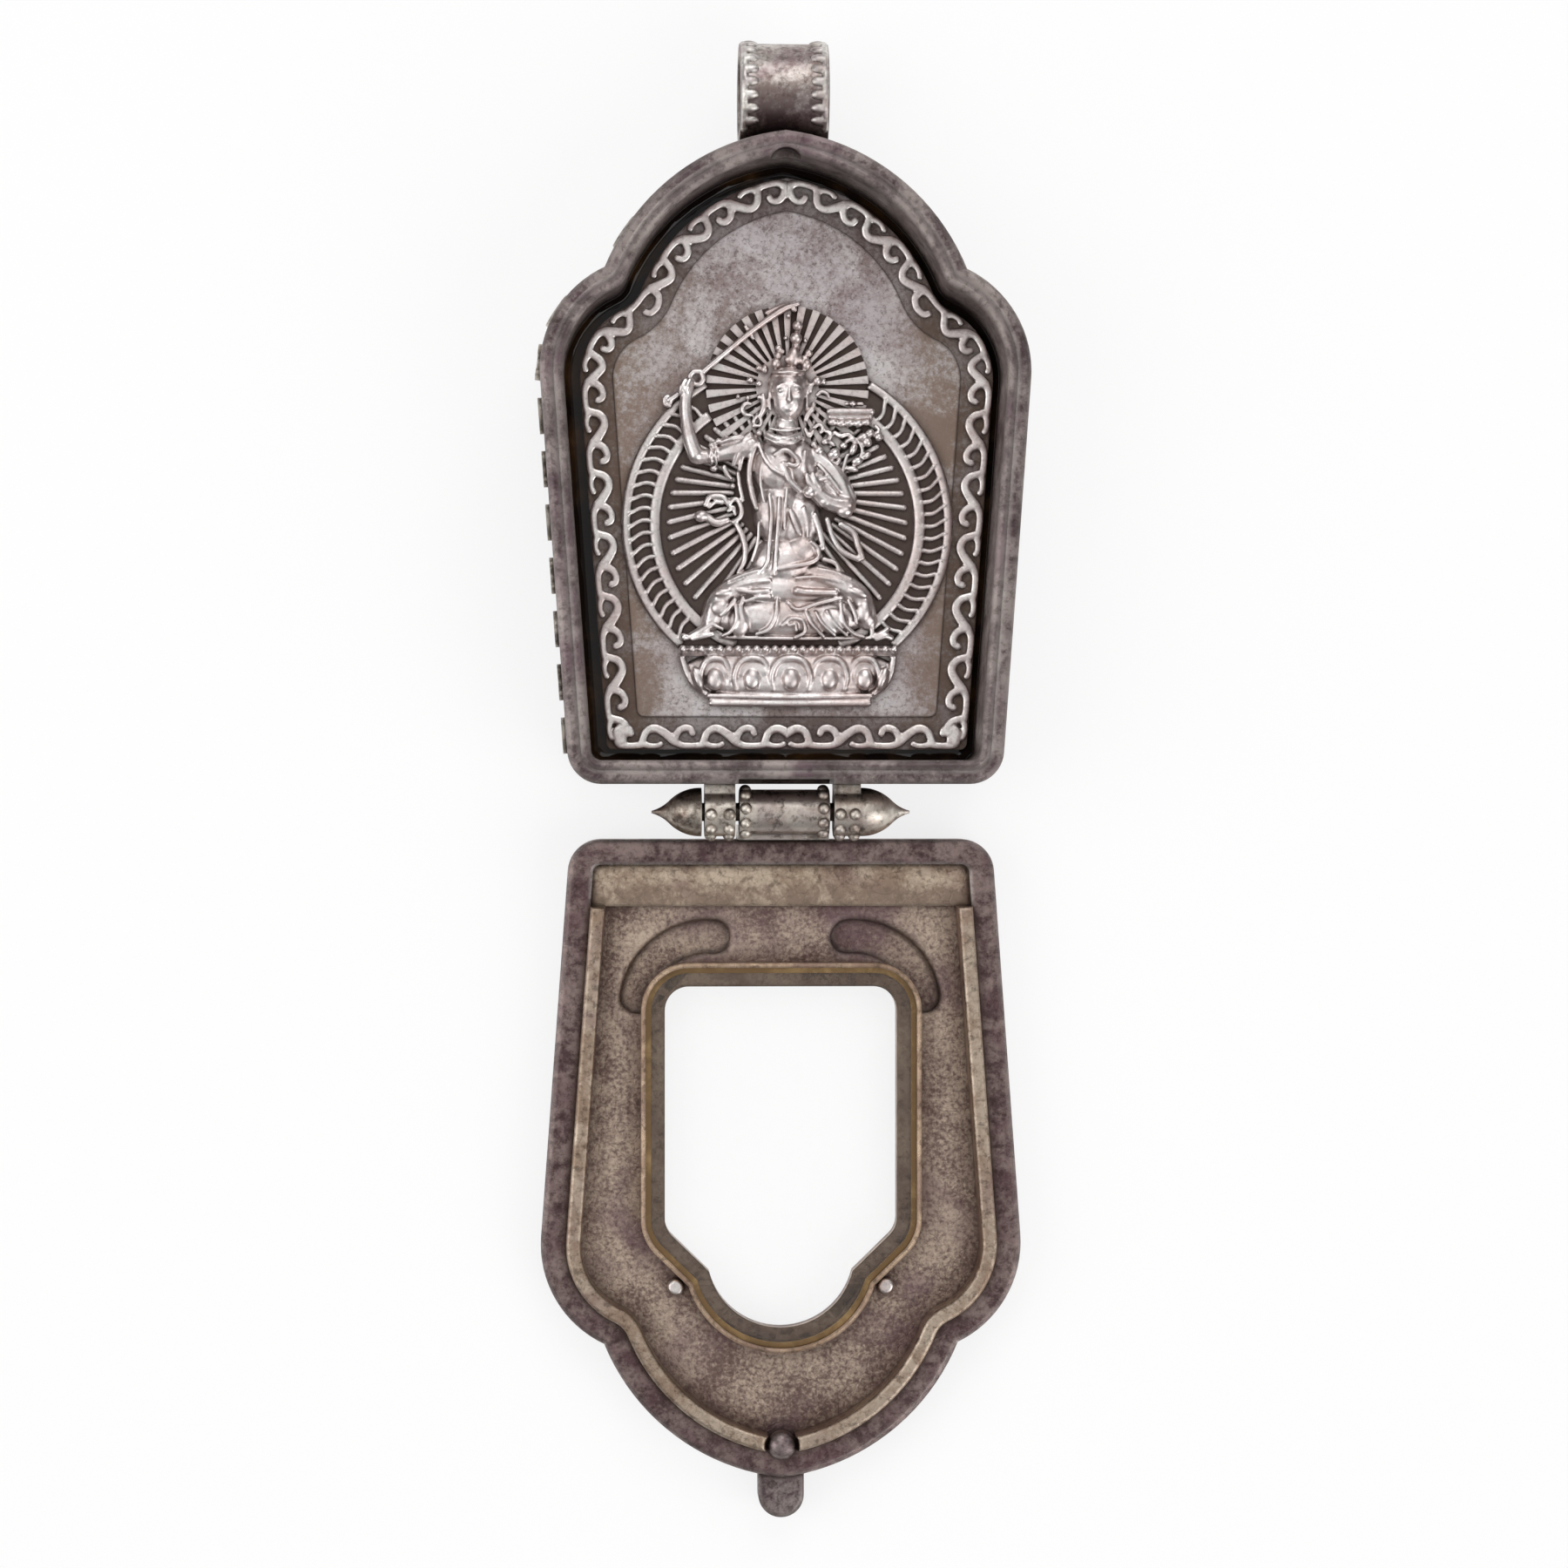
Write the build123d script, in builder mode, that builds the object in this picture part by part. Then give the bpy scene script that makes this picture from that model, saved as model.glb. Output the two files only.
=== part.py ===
from build123d import *
import os
from math import cos, pi, radians, sin, sqrt

# Ghau amulet box, a pendant shrine with a windowed lid, lying open.
# Millimetres. Origin in the middle of the case's back, X across the box,
# Y towards the hanging loop, Z up. The lid lies flat beyond the hinge, inside up.

# Box outline, the same for case and lid, measured from the hinge edge
case_length = 53.2
foot_width = 35.2
shoulder_width = 40.0
shoulder_height = 33.0
shoulder_radius = 9.2
crown_radius = 18.2
crown_shift = 2.1
corner_radius = 2.8
inner_corner_radius = 0.6

# Case
case_depth = 12.5
back_thickness = 1.0
wall_thickness = 1.1
liner_thickness = 0.85
rim_round = 0.35
wall_curl_radius = 1.15
wall_curl_strand = 0.7
wall_curl_proud = 0.35
wall_curl_seat = 0.4
wall_curl_pitch = 4.4
wall_curl_margin = 3.0
wall_curl_opening = 110.0

# Plaque set in resin
plaque_gap = 0.9
plaque_shift = 0.4
plaque_base = 3.6
plaque_thickness = 1.4
field_step = 0.2
resin_drop = 0.45
border_width = 2.25
border_height = 0.75
border_units = 13.9
border_start = 0.267
field_margin = 0.5

# Strokes of one unit of the running scroll, each a width and three places given as
# (units along the edge, share of the border's width): a stem along the outer edge,
# a crest that leaves it and falls to the next stem, and a small hook beside the joint
border_strokes = (
    (0.5, ((0.6, 0.16), (0.22, 0.13), (-0.16, 0.13))),
    (0.78, ((0.18, 0.2), (-0.07, 0.74), (-0.34, 0.44))),
    (0.78, ((-0.34, 0.44), (-0.41, 0.33), (-0.46, 0.22))),
    (0.54, ((0.57, 0.3), (0.46, 0.72), (0.36, 0.83))),
    (0.52, ((0.36, 0.83), (0.278, 0.7), (0.3, 0.52))),
)

# Aureole and nimbus behind the figure
halo_thickness = 0.7
halo_groove = 0.5
aureole_centre_height = 21.6
aureole_margin = 0.15
rail_width = 0.65
bar_length = 1.7
bar_count = 68
bar_gap = 0.6
bar_slant = 24.0
inner_rail_width = 0.75
ray_centre_height = 24.1
ray_start_radius = 4.8
ray_count = 60
ray_width = 0.36
ray_end_gap = 0.7
nimbus_height = 32.9
nimbus_radius = 6.75
nimbus_hub_radius = 2.6
nimbus_ray_count = 34

# Lotus throne
throne_foot_height = 6.4
throne_foot_bar = 0.8
throne_top_height = 11.5
throne_foot_width = 13.4
throne_width = 18.4
throne_ledge = 1.1
throne_thickness = 1.4
petal_count = 5
petal_pitch = 3.05
petal_foot_pitch = 2.3
petal_radius = 1.25
petal_foot_radius = 0.7
petal_rise = 0.8
petal_round = 0.5
throne_bead_count = 24
throne_bead_radius = 0.36

# Seated figure, places measured from the middle line and the hinge edge
knee_spread = 7.0
leg_height = 13.7
knee_radius = 1.75
ankle_spread = 2.2
ankle_height = 13.2
ankle_radius = 1.2
hip_height = 16.0
hip_radius = 2.9
waist_height = 21.0
waist_radius = 2.3
chest_height = 26.4
chest_radius = 2.8
shoulder_line = 27.3
figure_shoulder_spread = 3.3
figure_shoulder_radius = 1.35
neck_height = 29.4
neck_radius = 0.95
chin_height = 31.0
chin_radius = 1.35
brow_height = 33.2
brow_radius = 1.65
topknot_height = 36.9
topknot_radius = 0.7
crown_leaf_count = 5
crown_leaf_height = 35.2
crown_leaf_radius = 0.62
crown_leaf_lift = 0.55
right_elbow = (-7.3, 26.6)
right_hand = (-8.3, 32.2)
left_elbow = (5.6, 22.6)
left_hand = (1.5, 25.2)
left_hand_level = 7.1
elbow_radius = 1.05
hand_radius = 0.75
limb_share = 0.93
figure_sink = 0.6

# Sword, book and flower
sword_pommel = (-9.9, 31.6)
sword_guard = (-7.4, 33.5)
sword_tip = (1.1, 39.9)
sword_width = 0.8
sword_grip_width = 0.9
sword_guard_width = 2.0
sword_thickness = 0.7
book_width = 3.9
book_height = 2.0
book_place = (5.2, 30.7)
book_thickness = 1.1
flower_place = (5.6, 28.1)
flower_radius = 1.2
flower_petal_count = 6
flower_petal_radius = 0.8

# Hanging loop
bail_width = 7.3
bail_radius = 4.25
bail_bore_radius = 3.4
bail_rise = 3.7
bead_radius = 0.5
bead_pitch = 1.2
bead_sink = 0.1

# Hinge
hinge_reach = 2.3
knuckle_radius = 2.0
centre_knuckle_radius = 1.85
centre_knuckle_length = 7.4
knuckle_gap = 0.35
left_knuckle_length = 2.5
right_knuckle_length = 2.2
web_height = 2.6
pin_radius = 0.75
pin_clearance = 0.05
pin_head_gap = 0.25
pin_end_gap = 0.2
blind_wall = 0.5
bud_length = 4.1
bud_radius = 2.0
bud_point_radius = 0.1
bud_belly = (0.34, 0.88)
bud_turn = (0.66, 0.44)
bud_taper = (0.82, 0.2)
leaf_thickness = 1.2
leaf_foot_height = 0.8
relief_depth = 0.4
granule_radius = 0.5
granule_turns = (95, 135, 175, 215)

# Lid
lid_depth = 4.0
seat_gap = 0.1
collar_clearance = 0.15
collar_thickness = 1.25
collar_height = 1.2
collar_start = 5.6
collar_round = 0.3
sheet_thickness = 1.0
sheet_recess = 1.8
hollow_sheet = 0.8
hollow_width = 2.7
hollow_depth = 1.1
hollow_round = 0.5
hollow_start = (12.0, 13.2)
hollow_middle = (9.9, 9.5)
hollow_end = (5.6, 8.2)
hinge_strip_thickness = 0.6
pane_thickness = 0.8
ledge_thickness = 0.8
frame_wall = 0.4
frame_wall_height = 2.0
pane_clearance = 0.45
glue_height = 0.5
window_top = 12.3
window_bottom = 40.8
window_half_width = 9.7
window_hip_height = 32.5
window_neck = (6.0, 36.1)
window_corner_radius = 2.0
ledge_width = 2.0
stud_radius = 0.72
stud_shank_radius = 0.45
stud_height = 0.8
stud_round = 0.36
stud_gap = 0.35
stud_turn = 25.0
catch_setback = 2.8
catch_radius = 1.2
catch_stem_radius = 0.6
catch_dome = 1.3
catch_round = 0.85
catch_clearance = 0.2
tab_width = 3.8
tab_reach = 3.4
tab_thickness = 2.4
tab_lift = 0.8

# Levels and shared places
rim_width = wall_thickness + liner_thickness
plaque_inset = rim_width + plaque_gap
plate_top = plaque_base + plaque_thickness
field_top = plate_top + field_step
resin_top = plate_top - resin_drop
field_inset = plaque_inset + border_width + field_margin
halo_top = field_top + halo_thickness
flange_width = rim_width + collar_clearance
sheet_top = lid_depth - sheet_recess
catch_height = case_length - catch_setback
hinge_y = -case_length / 2 - hinge_reach
hinge_z = (case_depth + seat_gap + lid_depth) / 2
case_plane = Plane((0, -case_length / 2, 0))
plaque_plane = Plane((plaque_shift, -case_length / 2, 0))
plaque_middle = Plane.YZ.offset(plaque_shift)
lid_plane = Plane((0, hinge_y - hinge_reach, 0), x_dir=(-1, 0, 0), z_dir=(0, 0, 1))
hinge_axis = Axis((0, hinge_y, hinge_z), (1, 0, 0))

side_foot = Vector(foot_width / 2, 0)
side_top = Vector(shoulder_width / 2, shoulder_height)
side_run = (side_top - side_foot).normalized()
side_inward = Vector(-side_run.Y, side_run.X)
shoulder_centre = side_top + side_inward * shoulder_radius
crown_centre = Vector(-crown_shift, case_length - sqrt(crown_radius**2 - crown_shift**2))


# Upper crossing of two circles
def circles_meet(centre_a, radius_a, centre_b, radius_b):
    apart = centre_b - centre_a
    along = (radius_a**2 - radius_b**2 + apart.length**2) / (2 * apart.length)
    across = sqrt(radius_a**2 - along**2)
    run = apart.normalized()
    return centre_a + run * along + Vector(-run.Y, run.X) * across


cusp = circles_meet(crown_centre, crown_radius, shoulder_centre, shoulder_radius)


# Arc round a centre, the short way from start to end
def arc_about(centre, start, end):
    middle = ((start + end) * 0.5 - centre).normalized() * (start - centre).length
    ThreePointArc(start, centre + middle, end)


# Right half of the box outline moved in by inset, from the hinge edge to the tip
def half_outline(inset):
    side_start = side_foot + side_inward * inset
    corner = side_start + side_run * ((inset - side_start.Y) / side_run.Y)
    side_end = side_top + side_inward * inset
    shoulder_stop = shoulder_centre + (cusp - shoulder_centre).normalized() * (shoulder_radius - inset)
    crown_start = crown_centre + (cusp - crown_centre).normalized() * (crown_radius - inset)
    tip = Vector(0, crown_centre.Y + sqrt((crown_radius - inset) ** 2 - crown_shift**2))
    corner_round = max(corner_radius - inset, inner_corner_radius)
    with BuildLine() as half:
        FilletPolyline((0, inset), corner, side_end, radius=corner_round)
        arc_about(shoulder_centre, side_end, shoulder_stop)
        if inset > 0:
            arc_about(cusp, shoulder_stop, crown_start)
        arc_about(crown_centre, crown_start, tip)
    return half.line


# Whole outline moved in by inset
def outline(inset):
    half = half_outline(inset)
    with BuildSketch() as face:
        with BuildLine():
            add(half)
            mirror(about=Plane.YZ)
        make_face()
    return face.sketch


# Half width of the outline on the straight sides
def half_width_at(height):
    return foot_width / 2 + (shoulder_width - foot_width) / 2 * height / shoulder_height


outer_outline = outline(0)
wall_outline = outline(wall_thickness)
mouth_outline = outline(rim_width)
plaque_outline = outline(plaque_inset)
field_outline = outline(field_inset)
flange_outline = outline(flange_width)
collar_outline = outline(flange_width + collar_thickness)

pieces = []


# Label a finished piece and keep it for writing
def finish(piece, name):
    piece.part.label = name
    pieces.append(piece.part)


# Case shell
with BuildPart() as back_plate:
    with BuildSketch(case_plane):
        add(outer_outline)
    extrude(amount=back_thickness)
finish(back_plate, "back_plate")

relief_floor = hinge_z - hinge_reach - relief_depth
relief_width = centre_knuckle_length + knuckle_gap
with BuildPart() as side_wall:
    with BuildSketch(case_plane.offset(back_thickness)):
        add(outer_outline)
        add(wall_outline, mode=Mode.SUBTRACT)
    extrude(amount=case_depth - back_thickness)
    fillet(side_wall.faces().sort_by(Axis.Z)[-1].outer_wire().edges(), rim_round)
    with BuildSketch(case_plane.offset(relief_floor)):
        Rectangle(relief_width, 2 * relief_depth)
    extrude(amount=case_depth - relief_floor, mode=Mode.SUBTRACT)
finish(side_wall, "side_wall")

catch_pocket_depth = catch_dome + seat_gap + catch_clearance
with BuildPart() as mouth_liner:
    with BuildSketch(case_plane.offset(back_thickness)):
        add(wall_outline)
        add(mouth_outline, mode=Mode.SUBTRACT)
    extrude(amount=case_depth - back_thickness)
    fillet(mouth_liner.faces().sort_by(Axis.Z)[-1].inner_wires()[0].edges(), rim_round)
    with BuildSketch(case_plane.offset(case_depth - catch_pocket_depth)):
        with Locations((0, catch_height)):
            Circle(catch_radius + catch_clearance)
    extrude(amount=catch_pocket_depth, mode=Mode.SUBTRACT)
finish(mouth_liner, "mouth_liner")

# Raised curls along the outside of the wall, turned about one by one
wall_path = Wire(half_outline(0).edges())
curl_first = foot_width / 2 + wall_curl_margin
curl_last = wall_path.length - bail_width / 2 - wall_curl_margin
curl_total = int((curl_last - curl_first) / wall_curl_pitch) + 1
with BuildPart() as wall_scrolls:
    for curl in range(curl_total):
        along = curl_first + curl * wall_curl_pitch
        place = wall_path.position_at(along, position_mode=PositionMode.LENGTH)
        run = wall_path.tangent_at(along, position_mode=PositionMode.LENGTH)
        spot = case_plane.from_local_coords(Vector(place.X, place.Y, (case_depth + back_thickness) / 2))
        face_plane = Plane(spot, x_dir=run, z_dir=(run.Y, -run.X, 0))
        facing = 90 if curl % 2 else -90
        curl_arc = Edge.make_circle(
            wall_curl_radius,
            Plane.XY,
            start_angle=facing + wall_curl_opening / 2,
            end_angle=facing - wall_curl_opening / 2,
        )
        with BuildSketch(face_plane.offset(-wall_curl_seat)):
            SlotArc(curl_arc, wall_curl_strand)
        extrude(amount=wall_curl_seat + wall_curl_proud)
    with BuildSketch(case_plane):
        add(outer_outline)
    extrude(amount=case_depth, mode=Mode.SUBTRACT)
    mirror(about=Plane.YZ)
finish(wall_scrolls, "wall_scrolls")

# Resin bed with a pocket for the plaque
with BuildPart() as bedding_resin:
    with BuildSketch(case_plane.offset(back_thickness)):
        add(mouth_outline)
    extrude(amount=resin_top - back_thickness)
    with BuildSketch(plaque_plane.offset(plaque_base)):
        add(plaque_outline)
    extrude(amount=resin_top - plaque_base, mode=Mode.SUBTRACT)
finish(bedding_resin, "bedding_resin")

with BuildPart() as relief_plaque:
    with BuildSketch(plaque_plane.offset(plaque_base)):
        add(plaque_outline)
    extrude(amount=plaque_thickness)
    with BuildSketch(plaque_plane.offset(plate_top)):
        add(field_outline)
    extrude(amount=field_step)
finish(relief_plaque, "relief_plaque")

# Running scroll round the plaque
border_path = Wire(half_outline(plaque_inset).edges())
border_pitch = border_path.length / border_units


# Place on the border, so many units along and in by a share of its width.
# Past either end of the half outline it runs on along the other half.
def border_spot(units, share):
    along = abs(units * border_pitch)
    along = min(along, 2 * border_path.length - along)
    side = 1 if 0 <= units <= border_units else -1
    place = border_path.position_at(along, position_mode=PositionMode.LENGTH)
    run = border_path.tangent_at(along, position_mode=PositionMode.LENGTH)
    inward = share * border_width
    return Vector(side * (place.X - run.Y * inward), place.Y + run.X * inward)


with BuildPart() as scroll_border_right:
    with BuildSketch(plaque_plane.offset(plate_top)):
        for unit in range(int(border_units) + 2):
            for stroke_width, places in border_strokes:
                spots = [border_spot(unit + border_start + along, share) for along, share in places]
                SlotArc(Edge.make_three_point_arc(*spots), stroke_width)
    extrude(amount=border_height)
    split(bisect_by=plaque_middle)
finish(scroll_border_right, "scroll_border_right")

with BuildPart() as scroll_border_left:
    mirror(scroll_border_right.part, about=plaque_middle)
finish(scroll_border_left, "scroll_border_left")

# Aureole: a disc with slanted cells cut round its rail and a sunk floor from which fine rays stand
aureole_radius = half_width_at(aureole_centre_height) - field_inset - aureole_margin
bar_ring_radius = aureole_radius - rail_width - bar_length / 2
ray_floor_radius = bar_ring_radius - bar_length / 2 - inner_rail_width
with BuildSketch() as ray_bars:
    with Locations((0, ray_centre_height)):
        with PolarLocations(0, ray_count):
            Rectangle(2 * aureole_radius, ray_width, align=(Align.MIN, Align.CENTER))
    with Locations((0, aureole_centre_height)):
        Circle(ray_floor_radius - ray_end_gap, mode=Mode.INTERSECT)

with BuildPart() as aureole:
    with BuildSketch(plaque_plane.offset(field_top)):
        with Locations((0, aureole_centre_height)):
            Circle(aureole_radius)
        with Locations((0, nimbus_height)):
            Circle(nimbus_radius, mode=Mode.SUBTRACT)
        with Locations((0, throne_top_height)):
            Rectangle(
                2 * aureole_radius, aureole_radius, align=(Align.CENTER, Align.MAX), mode=Mode.SUBTRACT
            )
    extrude(amount=halo_thickness)
    with BuildSketch(plaque_plane.offset(halo_top - halo_groove)):
        with Locations((0, aureole_centre_height)):
            Circle(ray_floor_radius)
        with Locations((0, ray_centre_height)):
            Circle(ray_start_radius, mode=Mode.SUBTRACT)
        add(ray_bars.sketch, mode=Mode.SUBTRACT)
        with Locations((0, aureole_centre_height)):
            with PolarLocations(bar_ring_radius, bar_count):
                Rectangle(bar_length, bar_gap, rotation=bar_slant)
    extrude(amount=halo_groove, mode=Mode.SUBTRACT)
finish(aureole, "aureole")

nimbus_half_pitch = pi / nimbus_ray_count / 2
with BuildPart() as nimbus:
    with BuildSketch(plaque_plane.offset(field_top)):
        with Locations((0, nimbus_height)):
            Circle(nimbus_radius)
    extrude(amount=halo_thickness)
    with BuildSketch(plaque_plane.offset(halo_top - halo_groove)):
        with Locations((0, nimbus_height)):
            with PolarLocations(0, nimbus_ray_count):
                Polygon(
                    (nimbus_hub_radius, -nimbus_hub_radius * nimbus_half_pitch),
                    (nimbus_radius + halo_groove, -nimbus_radius * nimbus_half_pitch),
                    (nimbus_radius + halo_groove, nimbus_radius * nimbus_half_pitch),
                    (nimbus_hub_radius, nimbus_hub_radius * nimbus_half_pitch),
                    align=None,
                )
    extrude(amount=halo_groove, mode=Mode.SUBTRACT)
finish(nimbus, "nimbus")


# Place on the relief at a level above the back
def relief_spot(place, level):
    return plaque_plane.from_local_coords(Vector(place[0], place[1], level))


throne_level = field_top + throne_thickness
petal_top = throne_top_height - throne_ledge - petal_radius
petal_foot = throne_foot_height + throne_foot_bar + petal_foot_radius
with BuildPart() as lotus_throne:
    with BuildSketch(plaque_plane.offset(field_top)):
        with BuildLine():
            Polyline(
                (0, throne_foot_height),
                (throne_foot_width / 2, throne_foot_height),
                (throne_foot_width / 2, throne_foot_height + throne_foot_bar),
                (throne_width / 2, throne_top_height - throne_ledge),
                (throne_width / 2, throne_top_height),
                (0, throne_top_height),
            )
            mirror(about=Plane.YZ)
        make_face()
    extrude(amount=throne_thickness)
    for petal in range(petal_count):
        step = petal - (petal_count - 1) / 2
        with BuildSketch(plaque_plane.offset(throne_level)):
            with Locations((step * petal_pitch, petal_top)):
                Circle(petal_radius)
            with Locations((step * petal_foot_pitch, petal_foot)):
                Circle(petal_foot_radius)
            make_hull()
        extrude(amount=petal_rise)
    fillet(lotus_throne.faces().group_by(Axis.Z)[-1].edges(), petal_round)
    for bead in range(throne_bead_count):
        across = ((bead + 0.5) / throne_bead_count - 0.5) * throne_width
        with Locations(relief_spot((across, throne_top_height - throne_ledge / 2), throne_level)):
            Sphere(throne_bead_radius)
finish(lotus_throne, "lotus_throne")

# The figure's limbs lie part sunk in the halo, and what is below its face is cut away.
# Each ball has a place, a level and a radius, and each limb joins two balls.
limb_level = halo_top - figure_sink
figure_balls = {
    "hips": ((0, hip_height), limb_level, hip_radius),
    "waist": ((0, waist_height), limb_level, waist_radius),
    "chest": ((0, chest_height), limb_level, chest_radius),
    "neck": ((0, neck_height), halo_top, neck_radius),
    "chin": ((0, chin_height), halo_top, chin_radius),
    "brow": ((0, brow_height), halo_top, brow_radius),
    "topknot": ((0, topknot_height), halo_top, topknot_radius),
    "right_knee": ((-knee_spread, leg_height), limb_level, knee_radius),
    "left_knee": ((knee_spread, leg_height), limb_level, knee_radius),
    "right_ankle": ((ankle_spread, ankle_height), halo_top, ankle_radius),
    "left_ankle": ((-ankle_spread, ankle_height), halo_top, ankle_radius),
    "right_shoulder": ((-figure_shoulder_spread, shoulder_line), limb_level, figure_shoulder_radius),
    "left_shoulder": ((figure_shoulder_spread, shoulder_line), limb_level, figure_shoulder_radius),
    "right_elbow": (right_elbow, limb_level, elbow_radius),
    "left_elbow": (left_elbow, limb_level, elbow_radius),
    "right_hand": (right_hand, halo_top, hand_radius),
    "left_hand": (left_hand, left_hand_level, hand_radius),
}
figure_limbs = (
    ("hips", "waist"),
    ("waist", "chest"),
    ("chest", "neck"),
    ("neck", "chin"),
    ("chin", "brow"),
    ("brow", "topknot"),
    ("hips", "right_knee"),
    ("hips", "left_knee"),
    ("right_knee", "right_ankle"),
    ("left_knee", "left_ankle"),
    ("right_shoulder", "right_elbow"),
    ("right_elbow", "right_hand"),
    ("left_shoulder", "left_elbow"),
    ("left_elbow", "left_hand"),
)
crown_reach = crown_leaf_height - brow_height
with BuildPart() as seated_figure:
    for place, level, radius in figure_balls.values():
        with Locations(relief_spot(place, level)):
            Sphere(radius)
    for limb_start, limb_end in figure_limbs:
        start_place, start_level, start_radius = figure_balls[limb_start]
        end_place, end_level, end_radius = figure_balls[limb_end]
        start_spot = relief_spot(start_place, start_level)
        run = relief_spot(end_place, end_level) - start_spot
        with Locations(Plane(start_spot, z_dir=run)):
            Cone(
                start_radius * limb_share,
                end_radius * limb_share,
                run.length,
                align=(Align.CENTER, Align.CENTER, Align.MIN),
            )
    for leaf in range(crown_leaf_count):
        turn = (leaf - (crown_leaf_count - 1) / 2) / crown_leaf_count * pi
        leaf_place = (crown_reach * sin(turn), brow_height + crown_reach * cos(turn))
        with Locations(relief_spot(leaf_place, halo_top + crown_leaf_lift)):
            Sphere(crown_leaf_radius)
    split(bisect_by=Plane.XY.offset(halo_top))
finish(seated_figure, "seated_figure")

# Sword held over the nimbus: a tapering blade, a guard, a grip and a pommel
blade_run = (Vector(*sword_tip) - Vector(*sword_guard)).normalized()
blade_side = Vector(-blade_run.Y, blade_run.X)
grip_start = Vector(*sword_pommel)
guard_middle = Vector(*sword_guard)
guard_half = blade_side * (sword_guard_width / 2)
with BuildPart() as sword:
    with BuildSketch(plaque_plane.offset(halo_top)):
        with BuildLine():
            Polyline(
                guard_middle - blade_side * (sword_width / 2),
                Vector(*sword_tip),
                guard_middle + blade_side * (sword_width / 2),
                close=True,
            )
        make_face()
        SlotArc(Edge.make_line(grip_start, guard_middle), sword_grip_width)
        SlotArc(Edge.make_line(guard_middle - guard_half, guard_middle + guard_half), sword_grip_width)
    extrude(amount=sword_thickness)
    add(seated_figure.part, mode=Mode.SUBTRACT)
finish(sword, "sword")

with BuildPart() as book_and_lotus:
    with BuildSketch(plaque_plane.offset(halo_top)):
        with Locations(book_place):
            Rectangle(book_width, book_height)
    extrude(amount=book_thickness)
    with Locations(relief_spot(flower_place, halo_top)):
        Sphere(flower_radius)
    for petal in range(flower_petal_count):
        turn = 2 * pi * petal / flower_petal_count + pi / 2
        petal_across = flower_place[0] + flower_radius * cos(turn)
        petal_along = flower_place[1] + flower_radius * sin(turn)
        with Locations(relief_spot((petal_across, petal_along), halo_top)):
            Sphere(flower_petal_radius)
    split(bisect_by=Plane.XY.offset(halo_top))
    add(seated_figure.part, mode=Mode.SUBTRACT)
finish(book_and_lotus, "book_and_lotus")

# Hanging loop, seated on the tip of the wall
bail_y = case_length / 2 + bail_rise
bail_z = case_depth / 2
bail_plane = Plane((-bail_width / 2, bail_y, bail_z), x_dir=(0, 1, 0), z_dir=(1, 0, 0))
with BuildPart() as bail_band:
    with BuildSketch(bail_plane):
        Circle(bail_radius)
        Circle(bail_bore_radius, mode=Mode.SUBTRACT)
    extrude(amount=bail_width)
    with BuildSketch(case_plane):
        add(outer_outline)
    extrude(amount=case_depth, mode=Mode.SUBTRACT)
finish(bail_band, "bail_band")


# Ring of beads round a tube that lies along X, with the tube's own space left out
def bead_ring(ring_plane, tube_radius, tube_length):
    ring_radius = tube_radius - bead_sink
    bead_count = int(2 * pi * ring_radius / bead_pitch)
    with Locations(ring_plane.offset(bead_radius), ring_plane.offset(tube_length - bead_radius)):
        with PolarLocations(ring_radius, bead_count):
            Sphere(bead_radius)
    with Locations(ring_plane):
        Cylinder(
            tube_radius, tube_length, align=(Align.CENTER, Align.CENTER, Align.MIN), mode=Mode.SUBTRACT
        )


with BuildPart() as bail_beads:
    bead_ring(bail_plane, bail_radius, bail_width)
    with BuildSketch(case_plane):
        add(outer_outline)
    extrude(amount=case_depth, mode=Mode.SUBTRACT)
finish(bail_beads, "bail_beads")

# Hinge knuckles, each a tube along X
bore_radius = pin_radius + pin_clearance
centre_half = centre_knuckle_length / 2
left_end = -centre_half - knuckle_gap - left_knuckle_length
right_start = centre_half + knuckle_gap


# Plane across the hinge axis at a place along X
def hinge_plane(along):
    return Plane((along, hinge_y, hinge_z), x_dir=(0, 1, 0), z_dir=(1, 0, 0))


# Half section of a bud along X, from its base to its point, outward being 1 or -1.
# Its curve passes places given as shares of the bud's length and radius.
def bud_section(base, outward):
    reach = outward * bud_length
    tip = base + reach
    belly = (base + reach * bud_belly[0], bud_radius * bud_belly[1])
    turn = (base + reach * bud_turn[0], bud_radius * bud_turn[1])
    taper = (base + reach * bud_taper[0], bud_radius * bud_taper[1])
    with BuildSketch() as section:
        with BuildLine():
            Line((base, 0), (base, bud_radius))
            ThreePointArc((base, bud_radius), belly, turn)
            ThreePointArc(turn, taper, (tip, bud_point_radius))
            Polyline((tip, bud_point_radius), (tip, 0), (base, 0))
        make_face()
    return section.sketch


profile_plane = Plane((0, hinge_y, hinge_z), x_dir=(1, 0, 0), z_dir=(0, -1, 0))

with BuildPart() as left_knuckle:
    with BuildSketch(hinge_plane(left_end)):
        Circle(knuckle_radius)
        Rectangle(hinge_reach, web_height, align=(Align.MIN, Align.CENTER))
        Circle(bore_radius, mode=Mode.SUBTRACT)
    extrude(amount=left_knuckle_length)
finish(left_knuckle, "left_knuckle")

with BuildPart() as right_knuckle:
    with BuildSketch(hinge_plane(right_start)):
        Circle(knuckle_radius)
        Rectangle(hinge_reach, web_height, align=(Align.MIN, Align.CENTER))
    extrude(amount=right_knuckle_length)
    with BuildSketch(profile_plane):
        add(bud_section(right_start + right_knuckle_length, 1))
    revolve(axis=hinge_axis)
    with BuildSketch(hinge_plane(right_start)):
        Circle(bore_radius)
    extrude(amount=right_knuckle_length - blind_wall, mode=Mode.SUBTRACT)
finish(right_knuckle, "right_knuckle")

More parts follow.
